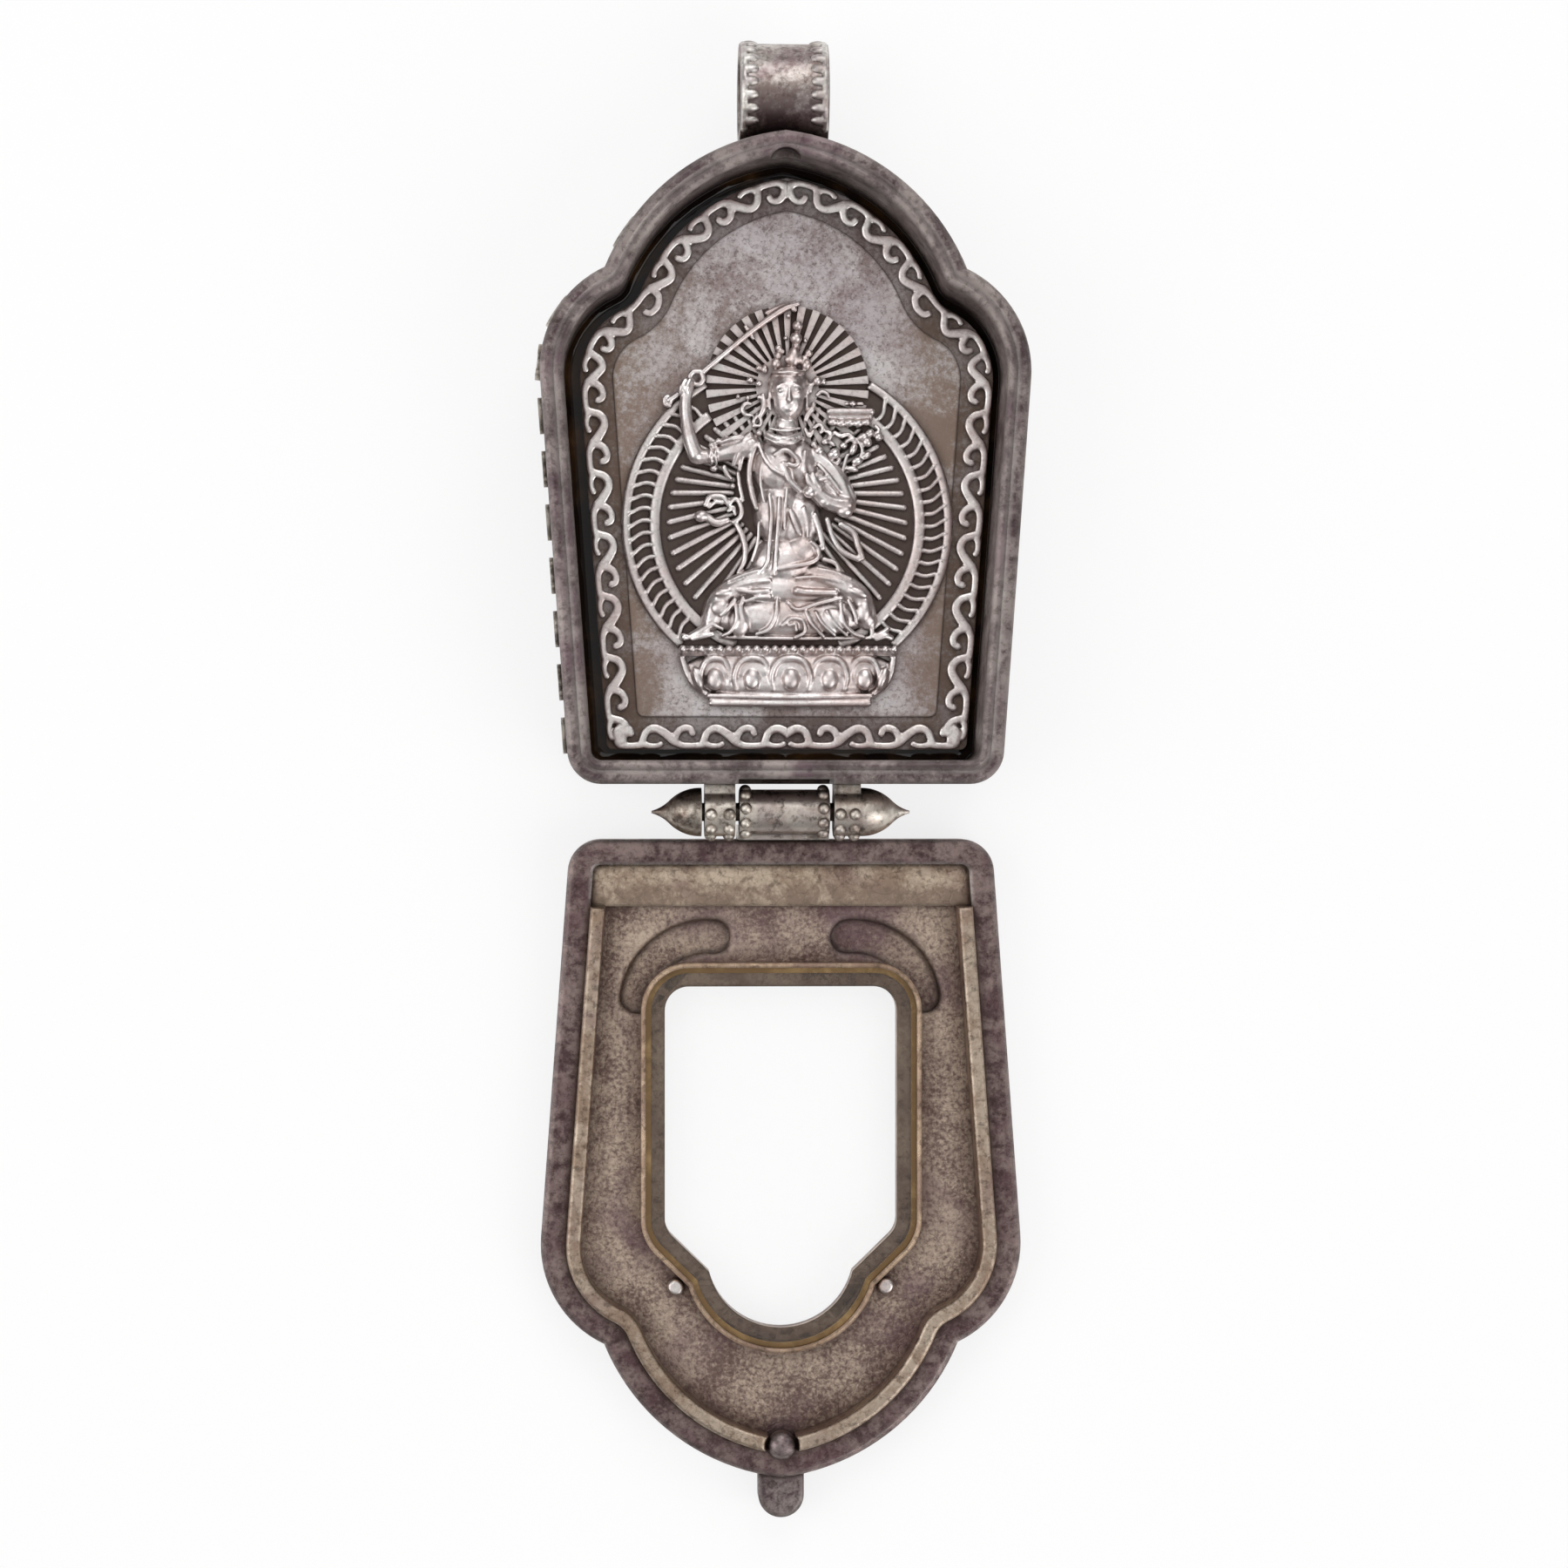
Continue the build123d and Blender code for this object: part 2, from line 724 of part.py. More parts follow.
# Granules on the upper and outer sides of the two case knuckles, clear of the webs
with BuildPart() as knuckle_granules:
    for along in (
        left_end + granule_radius,
        left_end + left_knuckle_length - granule_radius,
        right_start + granule_radius,
        right_start + right_knuckle_length - granule_radius,
    ):
        for turn in granule_turns:
            across = (knuckle_radius - bead_sink) * cos(radians(turn))
            up = (knuckle_radius - bead_sink) * sin(radians(turn))
            with Locations(hinge_plane(along).from_local_coords(Vector(across, up, 0))):
                Sphere(granule_radius)
    with Locations(hinge_plane(left_end)):
        Cylinder(
            knuckle_radius,
            right_start + right_knuckle_length - left_end,
            align=(Align.CENTER, Align.CENTER, Align.MIN),
            mode=Mode.SUBTRACT,
        )
finish(knuckle_granules, "knuckle_granules")

pin_head_face = left_end - pin_head_gap
pin_tip = right_start + right_knuckle_length - blind_wall - pin_end_gap
with BuildPart() as hinge_pin:
    with BuildSketch(profile_plane):
        add(bud_section(pin_head_face, -1))
    revolve(axis=hinge_axis)
    with BuildSketch(hinge_plane(pin_head_face)):
        Circle(pin_radius)
    extrude(amount=pin_tip - pin_head_face)
finish(hinge_pin, "hinge_pin")

# Lid knuckle on a leaf that stands against the lid's hinge edge
with BuildPart() as centre_knuckle:
    with BuildSketch(hinge_plane(-centre_half)):
        Circle(centre_knuckle_radius)
        with Locations((-hinge_reach, 0)):
            Rectangle(leaf_thickness, hinge_z - leaf_foot_height, align=(Align.MIN, Align.MAX))
        Circle(bore_radius, mode=Mode.SUBTRACT)
    extrude(amount=centre_knuckle_length)
finish(centre_knuckle, "centre_knuckle")

with BuildPart() as centre_knuckle_beads:
    bead_ring(hinge_plane(-centre_half), centre_knuckle_radius, centre_knuckle_length)
    add(centre_knuckle.part, mode=Mode.SUBTRACT)
finish(centre_knuckle_beads, "centre_knuckle_beads")

# Lid edge strip, whose top is the flange
with BuildPart() as lid_band:
    with BuildSketch(lid_plane):
        add(outer_outline)
        add(flange_outline, mode=Mode.SUBTRACT)
    extrude(amount=lid_depth)
    fillet(lid_band.faces().sort_by(Axis.Z)[-1].outer_wire().edges(), rim_round)
finish(lid_band, "lid_band")


# Window opening: straight sides, drawn in to a neck above a round bowl
window_bowl_centre = (window_bottom**2 - window_neck[1] ** 2 - window_neck[0] ** 2) / (
    2 * (window_bottom - window_neck[1])
)
with BuildSketch() as window_opening:
    with BuildLine():
        FilletPolyline(
            (0, window_top),
            (window_half_width, window_top),
            (window_half_width, window_hip_height),
            window_neck,
            radius=window_corner_radius,
        )
        arc_about(Vector(0, window_bowl_centre), Vector(*window_neck), Vector(0, window_bottom))
        mirror(about=Plane.YZ)
    make_face()


# Window outline moved out by outset
def window_outline(outset):
    with BuildSketch() as face:
        add(window_opening.sketch)
        offset(amount=outset)
    return face.sketch


ledge_outline = window_outline(ledge_width)
frame_inner_outline = window_outline(ledge_width - frame_wall)
pane_outline = window_outline(ledge_width - frame_wall - pane_clearance)


# One bean-shaped hollow beside the window's upper corner, as wide as given
def bean(width):
    middle_line = Edge.make_three_point_arc(Vector(*hollow_start), Vector(*hollow_middle), Vector(*hollow_end))
    SlotArc(middle_line, width)


sheet_bottom = sheet_top - sheet_thickness
stud_reach = ledge_width + stud_gap + stud_radius
stud_across = window_neck[0] + stud_reach * cos(radians(stud_turn))
stud_along = window_neck[1] + stud_reach * sin(radians(stud_turn))
hollow_floor = sheet_top - hollow_depth
with BuildPart() as lid_plate:
    with BuildSketch(lid_plane.offset(sheet_bottom)):
        add(flange_outline)
    extrude(amount=sheet_thickness)
    with BuildSketch(lid_plane.offset(hollow_floor - hollow_sheet)):
        bean(hollow_width + 2 * hollow_sheet)
        mirror(about=Plane.YZ)
    extrude(amount=hollow_sheet + hollow_depth)
    with BuildSketch(lid_plane.offset(hollow_floor)):
        bean(hollow_width)
        mirror(about=Plane.YZ)
    extrude(amount=hollow_depth, mode=Mode.SUBTRACT)
    fillet([edge for wire in lid_plate.faces().sort_by(Axis.Z)[-1].inner_wires() for edge in wire.edges()], hollow_round)
    with BuildSketch(lid_plane.offset(hollow_floor - hollow_sheet)):
        add(window_opening.sketch)
    extrude(amount=hollow_sheet + hollow_depth, mode=Mode.SUBTRACT)
    with BuildSketch(lid_plane.offset(sheet_bottom)):
        with Locations((stud_across, stud_along), (-stud_across, stud_along)):
            Circle(stud_shank_radius)
    extrude(amount=sheet_thickness, mode=Mode.SUBTRACT)
finish(lid_plate, "lid_plate")

# Collar that enters the mouth, open towards the hinge and cut back for the catch bead
with BuildPart() as lid_collar:
    with BuildSketch(lid_plane.offset(sheet_top)):
        add(flange_outline)
        add(collar_outline, mode=Mode.SUBTRACT)
        Rectangle(shoulder_width, 2 * collar_start, mode=Mode.SUBTRACT)
        with Locations((0, catch_height)):
            Circle(catch_radius + catch_clearance, mode=Mode.SUBTRACT)
    extrude(amount=lid_depth + collar_height - sheet_top)
    fillet(lid_collar.faces().group_by(Axis.Z)[-1].edges(), collar_round)
finish(lid_collar, "lid_collar")

with BuildPart() as hinge_strip:
    with BuildSketch(lid_plane.offset(sheet_top)):
        add(flange_outline)
        Rectangle(shoulder_width, 2 * collar_start, mode=Mode.INTERSECT)
    extrude(amount=hinge_strip_thickness)
finish(hinge_strip, "hinge_strip")

# Window: ledge with a thin standing wall, pane on the ledge, glue round the pane
ledge_top = sheet_top + ledge_thickness
with BuildPart() as window_frame:
    with BuildSketch(lid_plane.offset(sheet_top)):
        add(ledge_outline)
        add(window_opening.sketch, mode=Mode.SUBTRACT)
    extrude(amount=ledge_thickness)
    with BuildSketch(lid_plane.offset(ledge_top)):
        add(ledge_outline)
        add(frame_inner_outline, mode=Mode.SUBTRACT)
    extrude(amount=frame_wall_height - ledge_thickness)
finish(window_frame, "window_frame")

with BuildPart() as window_pane:
    with BuildSketch(lid_plane.offset(ledge_top)):
        add(pane_outline)
    extrude(amount=pane_thickness)
finish(window_pane, "window_pane")

with BuildPart() as pane_adhesive:
    with BuildSketch(lid_plane.offset(ledge_top)):
        add(frame_inner_outline)
        add(pane_outline, mode=Mode.SUBTRACT)
    extrude(amount=glue_height)
finish(pane_adhesive, "pane_adhesive")

# Two studs riveted through the sheet beside the window's neck
with BuildPart() as window_pins:
    with BuildSketch(lid_plane.offset(sheet_bottom)):
        with Locations((stud_across, stud_along), (-stud_across, stud_along)):
            Circle(stud_shank_radius)
    extrude(amount=sheet_thickness)
    with BuildSketch(lid_plane.offset(sheet_top)):
        with Locations((stud_across, stud_along), (-stud_across, stud_along)):
            Circle(stud_radius)
    extrude(amount=stud_height)
    fillet(window_pins.faces().group_by(Axis.Z)[-1].edges(), stud_round)
finish(window_pins, "window_pins")

# Catch bead, a domed head on a stem at the tip of the collar
with BuildPart() as catch_bead:
    with BuildSketch(lid_plane.offset(sheet_top)):
        with Locations((0, catch_height)):
            Circle(catch_stem_radius)
    extrude(amount=sheet_recess)
    with BuildSketch(lid_plane.offset(lid_depth)):
        with Locations((0, catch_height)):
            Circle(catch_radius)
    extrude(amount=catch_dome)
    fillet(catch_bead.faces().sort_by(Axis.Z)[-1].edges(), catch_round)
finish(catch_bead, "catch_bead")

# Thumb tab, a tongue with a round end on the tip of the lid
with BuildPart() as thumb_tab:
    with BuildSketch(lid_plane.offset(tab_lift)):
        with Locations((0, case_length + tab_reach - tab_width / 2)):
            Circle(tab_width / 2)
            Rectangle(tab_width, tab_width, align=(Align.CENTER, Align.MAX))
        add(outer_outline, mode=Mode.SUBTRACT)
    extrude(amount=tab_thickness)
finish(thumb_tab, "thumb_tab")

os.makedirs("parts", exist_ok=True)
for piece in pieces:
    export_step(piece, f"parts/{piece.label}.step")
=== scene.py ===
import bpy
import bmesh
import math
from mathutils import Matrix, Vector


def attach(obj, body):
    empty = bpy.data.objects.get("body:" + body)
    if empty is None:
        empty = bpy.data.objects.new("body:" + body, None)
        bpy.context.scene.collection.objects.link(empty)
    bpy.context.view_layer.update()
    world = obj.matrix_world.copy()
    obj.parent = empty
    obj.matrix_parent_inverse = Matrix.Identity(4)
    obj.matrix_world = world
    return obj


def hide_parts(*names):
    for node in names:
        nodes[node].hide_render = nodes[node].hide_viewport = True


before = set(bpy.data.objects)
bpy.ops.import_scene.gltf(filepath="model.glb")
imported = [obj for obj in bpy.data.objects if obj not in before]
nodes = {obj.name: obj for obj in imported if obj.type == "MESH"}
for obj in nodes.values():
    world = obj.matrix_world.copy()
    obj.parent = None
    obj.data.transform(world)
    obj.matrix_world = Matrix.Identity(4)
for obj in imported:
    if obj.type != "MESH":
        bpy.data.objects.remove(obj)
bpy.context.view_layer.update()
mm = 0.001
hingeEdge = -26.6  # the case's hinge-side edge on Y, in mm
plaqueMiddle = 0.4  # the plaque sits this far right of the case's middle
haloTop = 5.9  # height of the halo's face over the back, where the relief's own levels start
print("frame:", len(nodes), "nodes")

# The photograph's view: from above, a little to the left
viewpoint = {
    "place": (-16.3, -26.6, 350.0),
    "aim": (-0.2, -26.6, 12.5),
    "lens": 95.5,
    "film": 36.0,
    "clip": (0.01, 10.0),
}


def setCamera(view):
    lens = bpy.data.cameras.new("camera")
    lens.lens = view["lens"]
    lens.sensor_width = view["film"]
    lens.clip_start, lens.clip_end = view["clip"]
    camera = bpy.data.objects.new("camera", lens)
    place = Vector(view["place"]) * mm
    ahead = (Vector(view["aim"]) * mm - place).normalized()
    right = ahead.cross(Vector((0, 1, 0))).normalized()
    up = right.cross(ahead)
    camera.matrix_world = Matrix.Translation(place) @ Matrix((right, up, -ahead)).transposed().to_4x4()
    bpy.context.scene.collection.objects.link(camera)
    bpy.context.scene.camera = camera


setCamera(viewpoint)


# One node of a material, with its settings and inputs; an input may be a socket or a value
def addNode(tree, kind, inputs=None, **settings):
    node = tree.nodes.new(kind)
    for key, value in settings.items():
        setattr(node, key, value)
    for socket, value in (inputs or {}).items():
        if isinstance(value, bpy.types.NodeSocket):
            tree.links.new(value, node.inputs[socket])
        else:
            node.inputs[socket].default_value = value
    return node


def blankMaterial(name):
    material = bpy.data.materials.new(name)
    material.use_nodes = True
    material.node_tree.nodes.clear()
    return material


def tint(colour):
    return (colour[0], colour[1], colour[2], 1.0)


def mixColour(tree, amount, low, high):
    node = addNode(tree, "ShaderNodeMix", data_type="RGBA")
    for socket, value in ((node.inputs[0], amount), (node.inputs[6], low), (node.inputs[7], high)):
        if isinstance(value, bpy.types.NodeSocket):
            tree.links.new(value, socket)
        else:
            socket.default_value = tint(value)
    return node.outputs[2]


def sums(tree, operation, first, second, clamp=False):
    node = addNode(tree, "ShaderNodeMath", {0: first, 1: second}, operation=operation, use_clamp=clamp)
    return node.outputs[0]


def spread(tree, value, low, high, start=0.0, end=1.0):
    node = addNode(
        tree,
        "ShaderNodeMapRange",
        {"Value": value, "From Min": low, "From Max": high, "To Min": start, "To Max": end},
        interpolation_type="SMOOTHSTEP",
    )
    return node.outputs[0]


def grain(tree, place, scale, detail=6.0, rough=0.6, warp=0.0):
    node = addNode(
        tree,
        "ShaderNodeTexNoise",
        {"Vector": place, "Scale": scale, "Detail": detail, "Roughness": rough, "Distortion": warp},
    )
    return node.outputs["Fac"]


crackleLook = {
    "wander": 0.0035,
    "wanderScale": 420.0,
    "cells": 700.0,
    "width": 0.09,
    "stain": 0.55,
    "depth": 0.5,
}


# Fine wandering cracks: the amount on their lines, fading to 0 between them
def crackLines(tree, place, amount):
    wander = addNode(tree, "ShaderNodeMix", {0: crackleLook["wander"]}, data_type="VECTOR")
    drift = {"Vector": place, "Scale": crackleLook["wanderScale"], "Detail": 3.0}
    cloud = addNode(tree, "ShaderNodeTexNoise", drift)
    tree.links.new(place, wander.inputs[4])
    tree.links.new(cloud.outputs["Color"], wander.inputs[5])
    cells = addNode(
        tree,
        "ShaderNodeTexVoronoi",
        {"Vector": wander.outputs[1], "Scale": crackleLook["cells"]},
        feature="DISTANCE_TO_EDGE",
    )
    return spread(tree, cells.outputs["Distance"], 0.0, crackleLook["width"], amount, 0.0)


# Aged silver: bright metal under brown and purple tarnish, dark in its recesses from real tarnish and painted
# shade, rubbed bright on its edges
def agedSilver(name, **changes):
    look = {**silverLook, **changes}
    material = blankMaterial(name)
    tree = material.node_tree
    place = addNode(tree, "ShaderNodeTexCoord").outputs["Object"]
    geometry = addNode(tree, "ShaderNodeNewGeometry").outputs
    blotch = grain(tree, place, look["blotch"], 5.0, 0.62, 0.4)
    cloud = grain(tree, place, look["blotch"] * look["cloudScale"], 4.0, 0.55, 0.8)
    mottle = grain(tree, place, look["mottle"], 8.0, 0.7)
    pits = grain(tree, place, look["pitScale"], 9.0, 0.72)
    broad = sums(tree, "MULTIPLY", blotch, look["patch"])
    both = sums(tree, "ADD", broad, sums(tree, "MULTIPLY", mottle, 1 - look["patch"]))
    colour = mixColour(tree, spread(tree, both, *look["cover"]), look["bright"], look["tarnish"])
    stained = spread(tree, cloud, *look["stainRange"], 0.0, look["stainAmount"])
    colour = mixColour(tree, stained, colour, look["stain"])
    pitted = spread(tree, pits, *look["pitRange"], 0.0, look["pitAmount"])
    colour = mixColour(tree, pitted, colour, look["grime"])
    surface = geometry["Normal"]
    # Painted shade: occlusion darkens hollows and the metal near walls, on top of the real tarnish in hollows
    reach = look["recessReach"] * mm
    nearby = addNode(tree, "ShaderNodeAmbientOcclusion", {"Distance": reach}, samples=3).outputs["AO"]
    recess = spread(tree, nearby, *look["recessRange"], 0.0, look["recessAmount"])
    if look["cast"]:  # fine meshes carry their own edges and hollows
        point = geometry["Pointiness"]
        edge = spread(tree, point, *look["ridgeRange"])
        hollow = spread(tree, point, *look["hollowRange"], 0.0, look["recessAmount"])
        recess = sums(tree, "MAXIMUM", recess, hollow)
    else:
        surface = addNode(tree, "ShaderNodeBevel", {"Radius": look["soft"] * mm}, samples=3).outputs[0]
        pair = {0: surface, 1: geometry["Normal"]}
        agree = addNode(tree, "ShaderNodeVectorMath", pair, operation="DOT_PRODUCT").outputs["Value"]
        edge = spread(tree, agree, *look["edgeRange"])
    if "fade" in look:  # browner with distance from a place on one axis, in mm; on the loop this is painted shade
        axis, start, low, high = look["fade"]
        aside = addNode(tree, "ShaderNodeSeparateXYZ", {0: place}).outputs[axis]
        aside = sums(tree, "ABSOLUTE", sums(tree, "SUBTRACT", aside, start * mm), 0.0)
        patchy = spread(tree, both, *look["fadePatches"])
        browned = sums(tree, "MULTIPLY", spread(tree, aside, low * mm, high * mm), patchy)
        colour = mixColour(tree, browned, colour, look["fadeColour"])
    if "floor" in look:  # heights over the back, in mm, between which the metal turns dark downwards
        height = addNode(tree, "ShaderNodeSeparateXYZ", {0: place}).outputs["Z"]
        low, high = look["floor"]
        sunk = spread(tree, height, high * mm, low * mm, 0.0, look["floorAmount"])
        recess = sums(tree, "MAXIMUM", recess, sunk)
    # The recess colour is partly real tarnish in hollows and partly painted shade; pits and cracks take it as
    # real dirt
    colour = mixColour(tree, recess, colour, look["grime"])
    # Painted shade: the most occluded spots turn near black, partly real black tarnish there
    buried = spread(tree, nearby, *look["deepRange"], 0.0, look["deepAmount"])
    colour = mixColour(tree, buried, colour, look["deep"])
    rubbed = sums(tree, "MULTIPLY", edge, spread(tree, mottle, *look["rubRange"], look["edgeAmount"]))
    rubbed = sums(tree, "MULTIPLY", rubbed, sums(tree, "SUBTRACT", 1.0, recess, True))
    colour = mixColour(tree, rubbed, colour, look["worn"])
    dull = spread(tree, both, *look["roughRange"], *look["rough"])
    dull = sums(tree, "ADD", dull, sums(tree, "MULTIPLY", recess, look["recessRough"]), True)
    crust = sums(tree, "ADD", both, sums(tree, "MULTIPLY", pits, look["pitDepth"]))
    if look["crackle"] > 0:
        crack = crackLines(tree, place, look["crackle"])
        colour = mixColour(tree, sums(tree, "MULTIPLY", crack, crackleLook["stain"]), colour, look["grime"])
        crust = sums(tree, "SUBTRACT", crust, sums(tree, "MULTIPLY", crack, crackleLook["depth"]))
    bump = addNode(
        tree,
        "ShaderNodeBump",
        {"Strength": look["bump"], "Distance": look["bumpDepth"] * mm, "Height": crust, "Normal": surface},
    )
    skin = addNode(
        tree,
        "ShaderNodeBsdfPrincipled",
        {"Base Color": colour, "Metallic": 1.0, "Roughness": dull, "Normal": bump.outputs[0]},
    )
    addNode(tree, "ShaderNodeOutputMaterial", {"Surface": skin.outputs[0]})
    return material


# The ranges are of each noise or measure; scales are per metre, reaches and depths in mm
silverLook = {
    "bright": (0.62, 0.55, 0.5),
    "tarnish": (0.2, 0.145, 0.12),
    "stain": (0.2, 0.12, 0.15),
    "stainAmount": 0.4,
    "stainRange": (0.48, 0.66),
    "grime": (0.035, 0.022, 0.016),
    "worn": (0.8, 0.76, 0.71),
    "blotch": 260.0,
    "cloudScale": 0.43,
    "mottle": 1900.0,
    "patch": 0.6,
    "cover": (0.4, 0.6),
    "pitScale": 1500.0,
    "pitAmount": 0.5,
    "pitRange": (0.5, 0.62),
    "pitDepth": 0.25,
    "deep": (0.03, 0.018, 0.013),
    "deepAmount": 0.6,
    "deepRange": (0.5, 0.15),
    "recessReach": 0.9,
    "recessAmount": 0.85,
    "recessRange": (0.95, 0.4),
    "recessRough": 0.12,
    "hollowRange": (0.492, 0.43),
    "ridgeRange": (0.51, 0.58),
    "edgeRange": (0.995, 0.85),
    "edgeAmount": 0.8,
    "rubRange": (0.38, 0.58, 0.2),
    "fadePatches": (0.38, 0.56, 0.35, 1.0),
    "rough": (0.3, 0.46),
    "roughRange": (0.35, 0.65),
    "bump": 0.4,
    "bumpDepth": 0.12,
    "soft": 0.22,
    "cast": False,
    "crackle": 0.0,
}
rimSilver = agedSilver(
    "rimSilver",
    bright=(0.34, 0.287, 0.27),
    tarnish=(0.092, 0.063, 0.068),
    soft=0.6,
    edgeAmount=0.6,
    recessReach=1.6,
    mottle=2600.0,
)
flangeSilver = agedSilver(
    "flangeSilver",
    bright=(0.28, 0.21, 0.195),
    tarnish=(0.095, 0.06, 0.062),
    stain=(0.13, 0.07, 0.08),
    stainAmount=0.6,
    blotch=520.0,
    mottle=2600.0,
    soft=0.5,
    edgeAmount=0.9,
)
fieldSilver = agedSilver(
    "fieldSilver",
    bright=(0.64, 0.6, 0.6),
    tarnish=(0.31, 0.25, 0.235),
    blotch=170.0,
    mottle=2600.0,
    pitScale=3000.0,
    rough=(0.36, 0.52),
    stainAmount=0.3,
    edgeAmount=0.3,
    recessAmount=0.5,
    grime=(0.055, 0.033, 0.025),
    fade=("X", plaqueMiddle, 6.0, 14.0),
    fadeColour=(0.27, 0.2, 0.16),
    floor=(5.03, 5.19),
    floorAmount=0.5,
)
castLook = {
    "cast": True,
    "bright": (0.9, 0.86, 0.85),
    "tarnish": (0.68, 0.6, 0.58),
    "stain": (0.6, 0.45, 0.42),
    "worn": (0.92, 0.89, 0.87),
    "rough": (0.28, 0.46),
    "pitAmount": 0.25,
    "pitScale": 2400.0,
    "recessReach": 0.6,
    "recessAmount": 0.66,
    "grime": (0.22, 0.14, 0.12),
    "deepAmount": 0.85,
    "bump": 0.35,
}
haloLook = {
    **castLook,
    "cast": False,
    "bright": (0.7, 0.66, 0.64),
    "stainAmount": 0.3,
    "soft": 0.16,
    "grime": (0.05, 0.03, 0.023),
    "floor": (5.43, 5.66),
    "floorAmount": 0.93,
}
scrollLook = {
    **castLook,
    "bright": (0.8, 0.76, 0.73),
    "stainAmount": 0.25,
    "grime": (0.07, 0.042, 0.032),
    "recessAmount": 0.9,
}
reliefSilver = agedSilver("reliefSilver", **castLook)
haloSilver = agedSilver("haloSilver", **haloLook)
scrollSilver = agedSilver("scrollSilver", **scrollLook)
loopSilver = agedSilver(
    "loopSilver",
    bright=(0.66, 0.61, 0.57),
    tarnish=(0.3, 0.235, 0.21),
    worn=(0.86, 0.83, 0.79),
    # Painted shade: the loop turns darker away from its outer crest, towards the case
    fade=("Y", 34.6, 2.2, 7.0),
    fadeColour=(0.12, 0.085, 0.085),
)
hingeLook = {
    "bright": (0.82, 0.76, 0.68),
    "tarnish": (0.42, 0.335, 0.27),
    "worn": (0.86, 0.82, 0.75),
    "cover": (0.42, 0.66),
    "pitAmount": 0.65,
    "pitScale": 1000.0,
}
budLook = {**hingeLook, "bright": (0.6, 0.54, 0.47), "tarnish": (0.2, 0.15, 0.12), "cover": (0.4, 0.58)}
lobeLook = {**hingeLook, "bright": (0.84, 0.81, 0.77), "tarnish": (0.5, 0.43, 0.39), "pitAmount": 0.35}
hingeSilver = agedSilver("hingeSilver", **hingeLook)
budSilver = agedSilver("budSilver", **budLook)
lobeSilver = agedSilver("lobeSilver", **lobeLook)
lidSilver = agedSilver(
    "lidSilver",
    bright=(0.54, 0.43, 0.34),
    tarnish=(0.17, 0.115, 0.1),
    stain=(0.19, 0.12, 0.135),
    stainAmount=0.7,
    blotch=190.0,
    mottle=2800.0,
    patch=0.4,
    pitScale=2300.0,
    pitAmount=0.36,
    grime=(0.07, 0.04, 0.038),
    # A long reach spreads painted shade over the sheet near its walls, with real tarnish in the hollows
    recessReach=2.2,
    recessAmount=0.75,
    crackle=0.3,
    bump=0.6,
    soft=0.7,
    edgeAmount=0.4,
)
giltLook = {
    "bright": (0.62, 0.5, 0.385),
    "tarnish": (0.34, 0.245, 0.18),
    "worn": (0.68, 0.58, 0.47),
    "stain": (0.24, 0.15, 0.14),
    "stainAmount": 0.5,
    "blotch": 220.0,
    "mottle": 2200.0,
    "recessAmount": 0.6,
}
collarLook = {**giltLook, "bright": (0.54, 0.44, 0.35), "crackle": 0.3, "blotch": 330.0, "edgeAmount": 0.5}
stripLook = {
    **giltLook,
    "crackle": 0.3,
    "blotch": 330.0,
    "bump": 0.6,
    "stainAmount": 0.6,
    "soft": 0.5,
    "fade": ("Y", -33.3, 0.9, 3.0),
    "fadeColour": (0.27, 0.2, 0.155),
}
frameLook = {
    **giltLook,
    "bright": (0.68, 0.5, 0.36),
    "tarnish": (0.38, 0.255, 0.18),
    "worn": (0.42, 0.32, 0.24),
    "edgeAmount": 0.4,
    "rough": (0.24, 0.4),
    "soft": 0.4,
    "recessAmount": 0.35,
}
giltSilver = agedSilver("giltSilver", **collarLook)
stripSilver = agedSilver("stripSilver", **stripLook)
frameSilver = agedSilver("frameSilver", **frameLook)

glassLook = {
    "smears": 220.0,
    "smearRange": (0.4, 0.7),
    "rough": (0.02, 0.09),
    "shine": (0.95, 0.97, 0.96),
    "index": 1.45,
}


# Clear pane with a slightly smeared shine on its outer faces
def glassFinish(name, look):
    material = blankMaterial(name)
    tree = material.node_tree
    place = addNode(tree, "ShaderNodeTexCoord").outputs["Object"]
    smear = grain(tree, place, look["smears"], 4.0, 0.6)
    clear = addNode(tree, "ShaderNodeBsdfTransparent", {"Color": (1.0, 1.0, 1.0, 1.0)})
    dull = spread(tree, smear, *look["smearRange"], *look["rough"])
    shine = addNode(tree, "ShaderNodeBsdfAnisotropic", {"Color": tint(look["shine"]), "Roughness": dull})
    outside = sums(tree, "SUBTRACT", 1.0, addNode(tree, "ShaderNodeNewGeometry").outputs["Backfacing"])
    glance = addNode(tree, "ShaderNodeFresnel", {"IOR": look["index"]}).outputs[0]
    turn = sums(tree, "MULTIPLY", glance, outside)
    mixed = addNode(tree, "ShaderNodeMixShader", {0: turn, 1: clear.outputs[0], 2: shine.outputs[0]})
    addNode(tree, "ShaderNodeOutputMaterial", {"Surface": mixed.outputs[0]})
    return material


resinLook = {
    "thinRange": (0.45, 0.75),
    "dullRange": (0.4, 0.7),
    "rough": (0.04, 0.12),
    "bump": 0.12,
    "bumpDepth": 0.2,
}


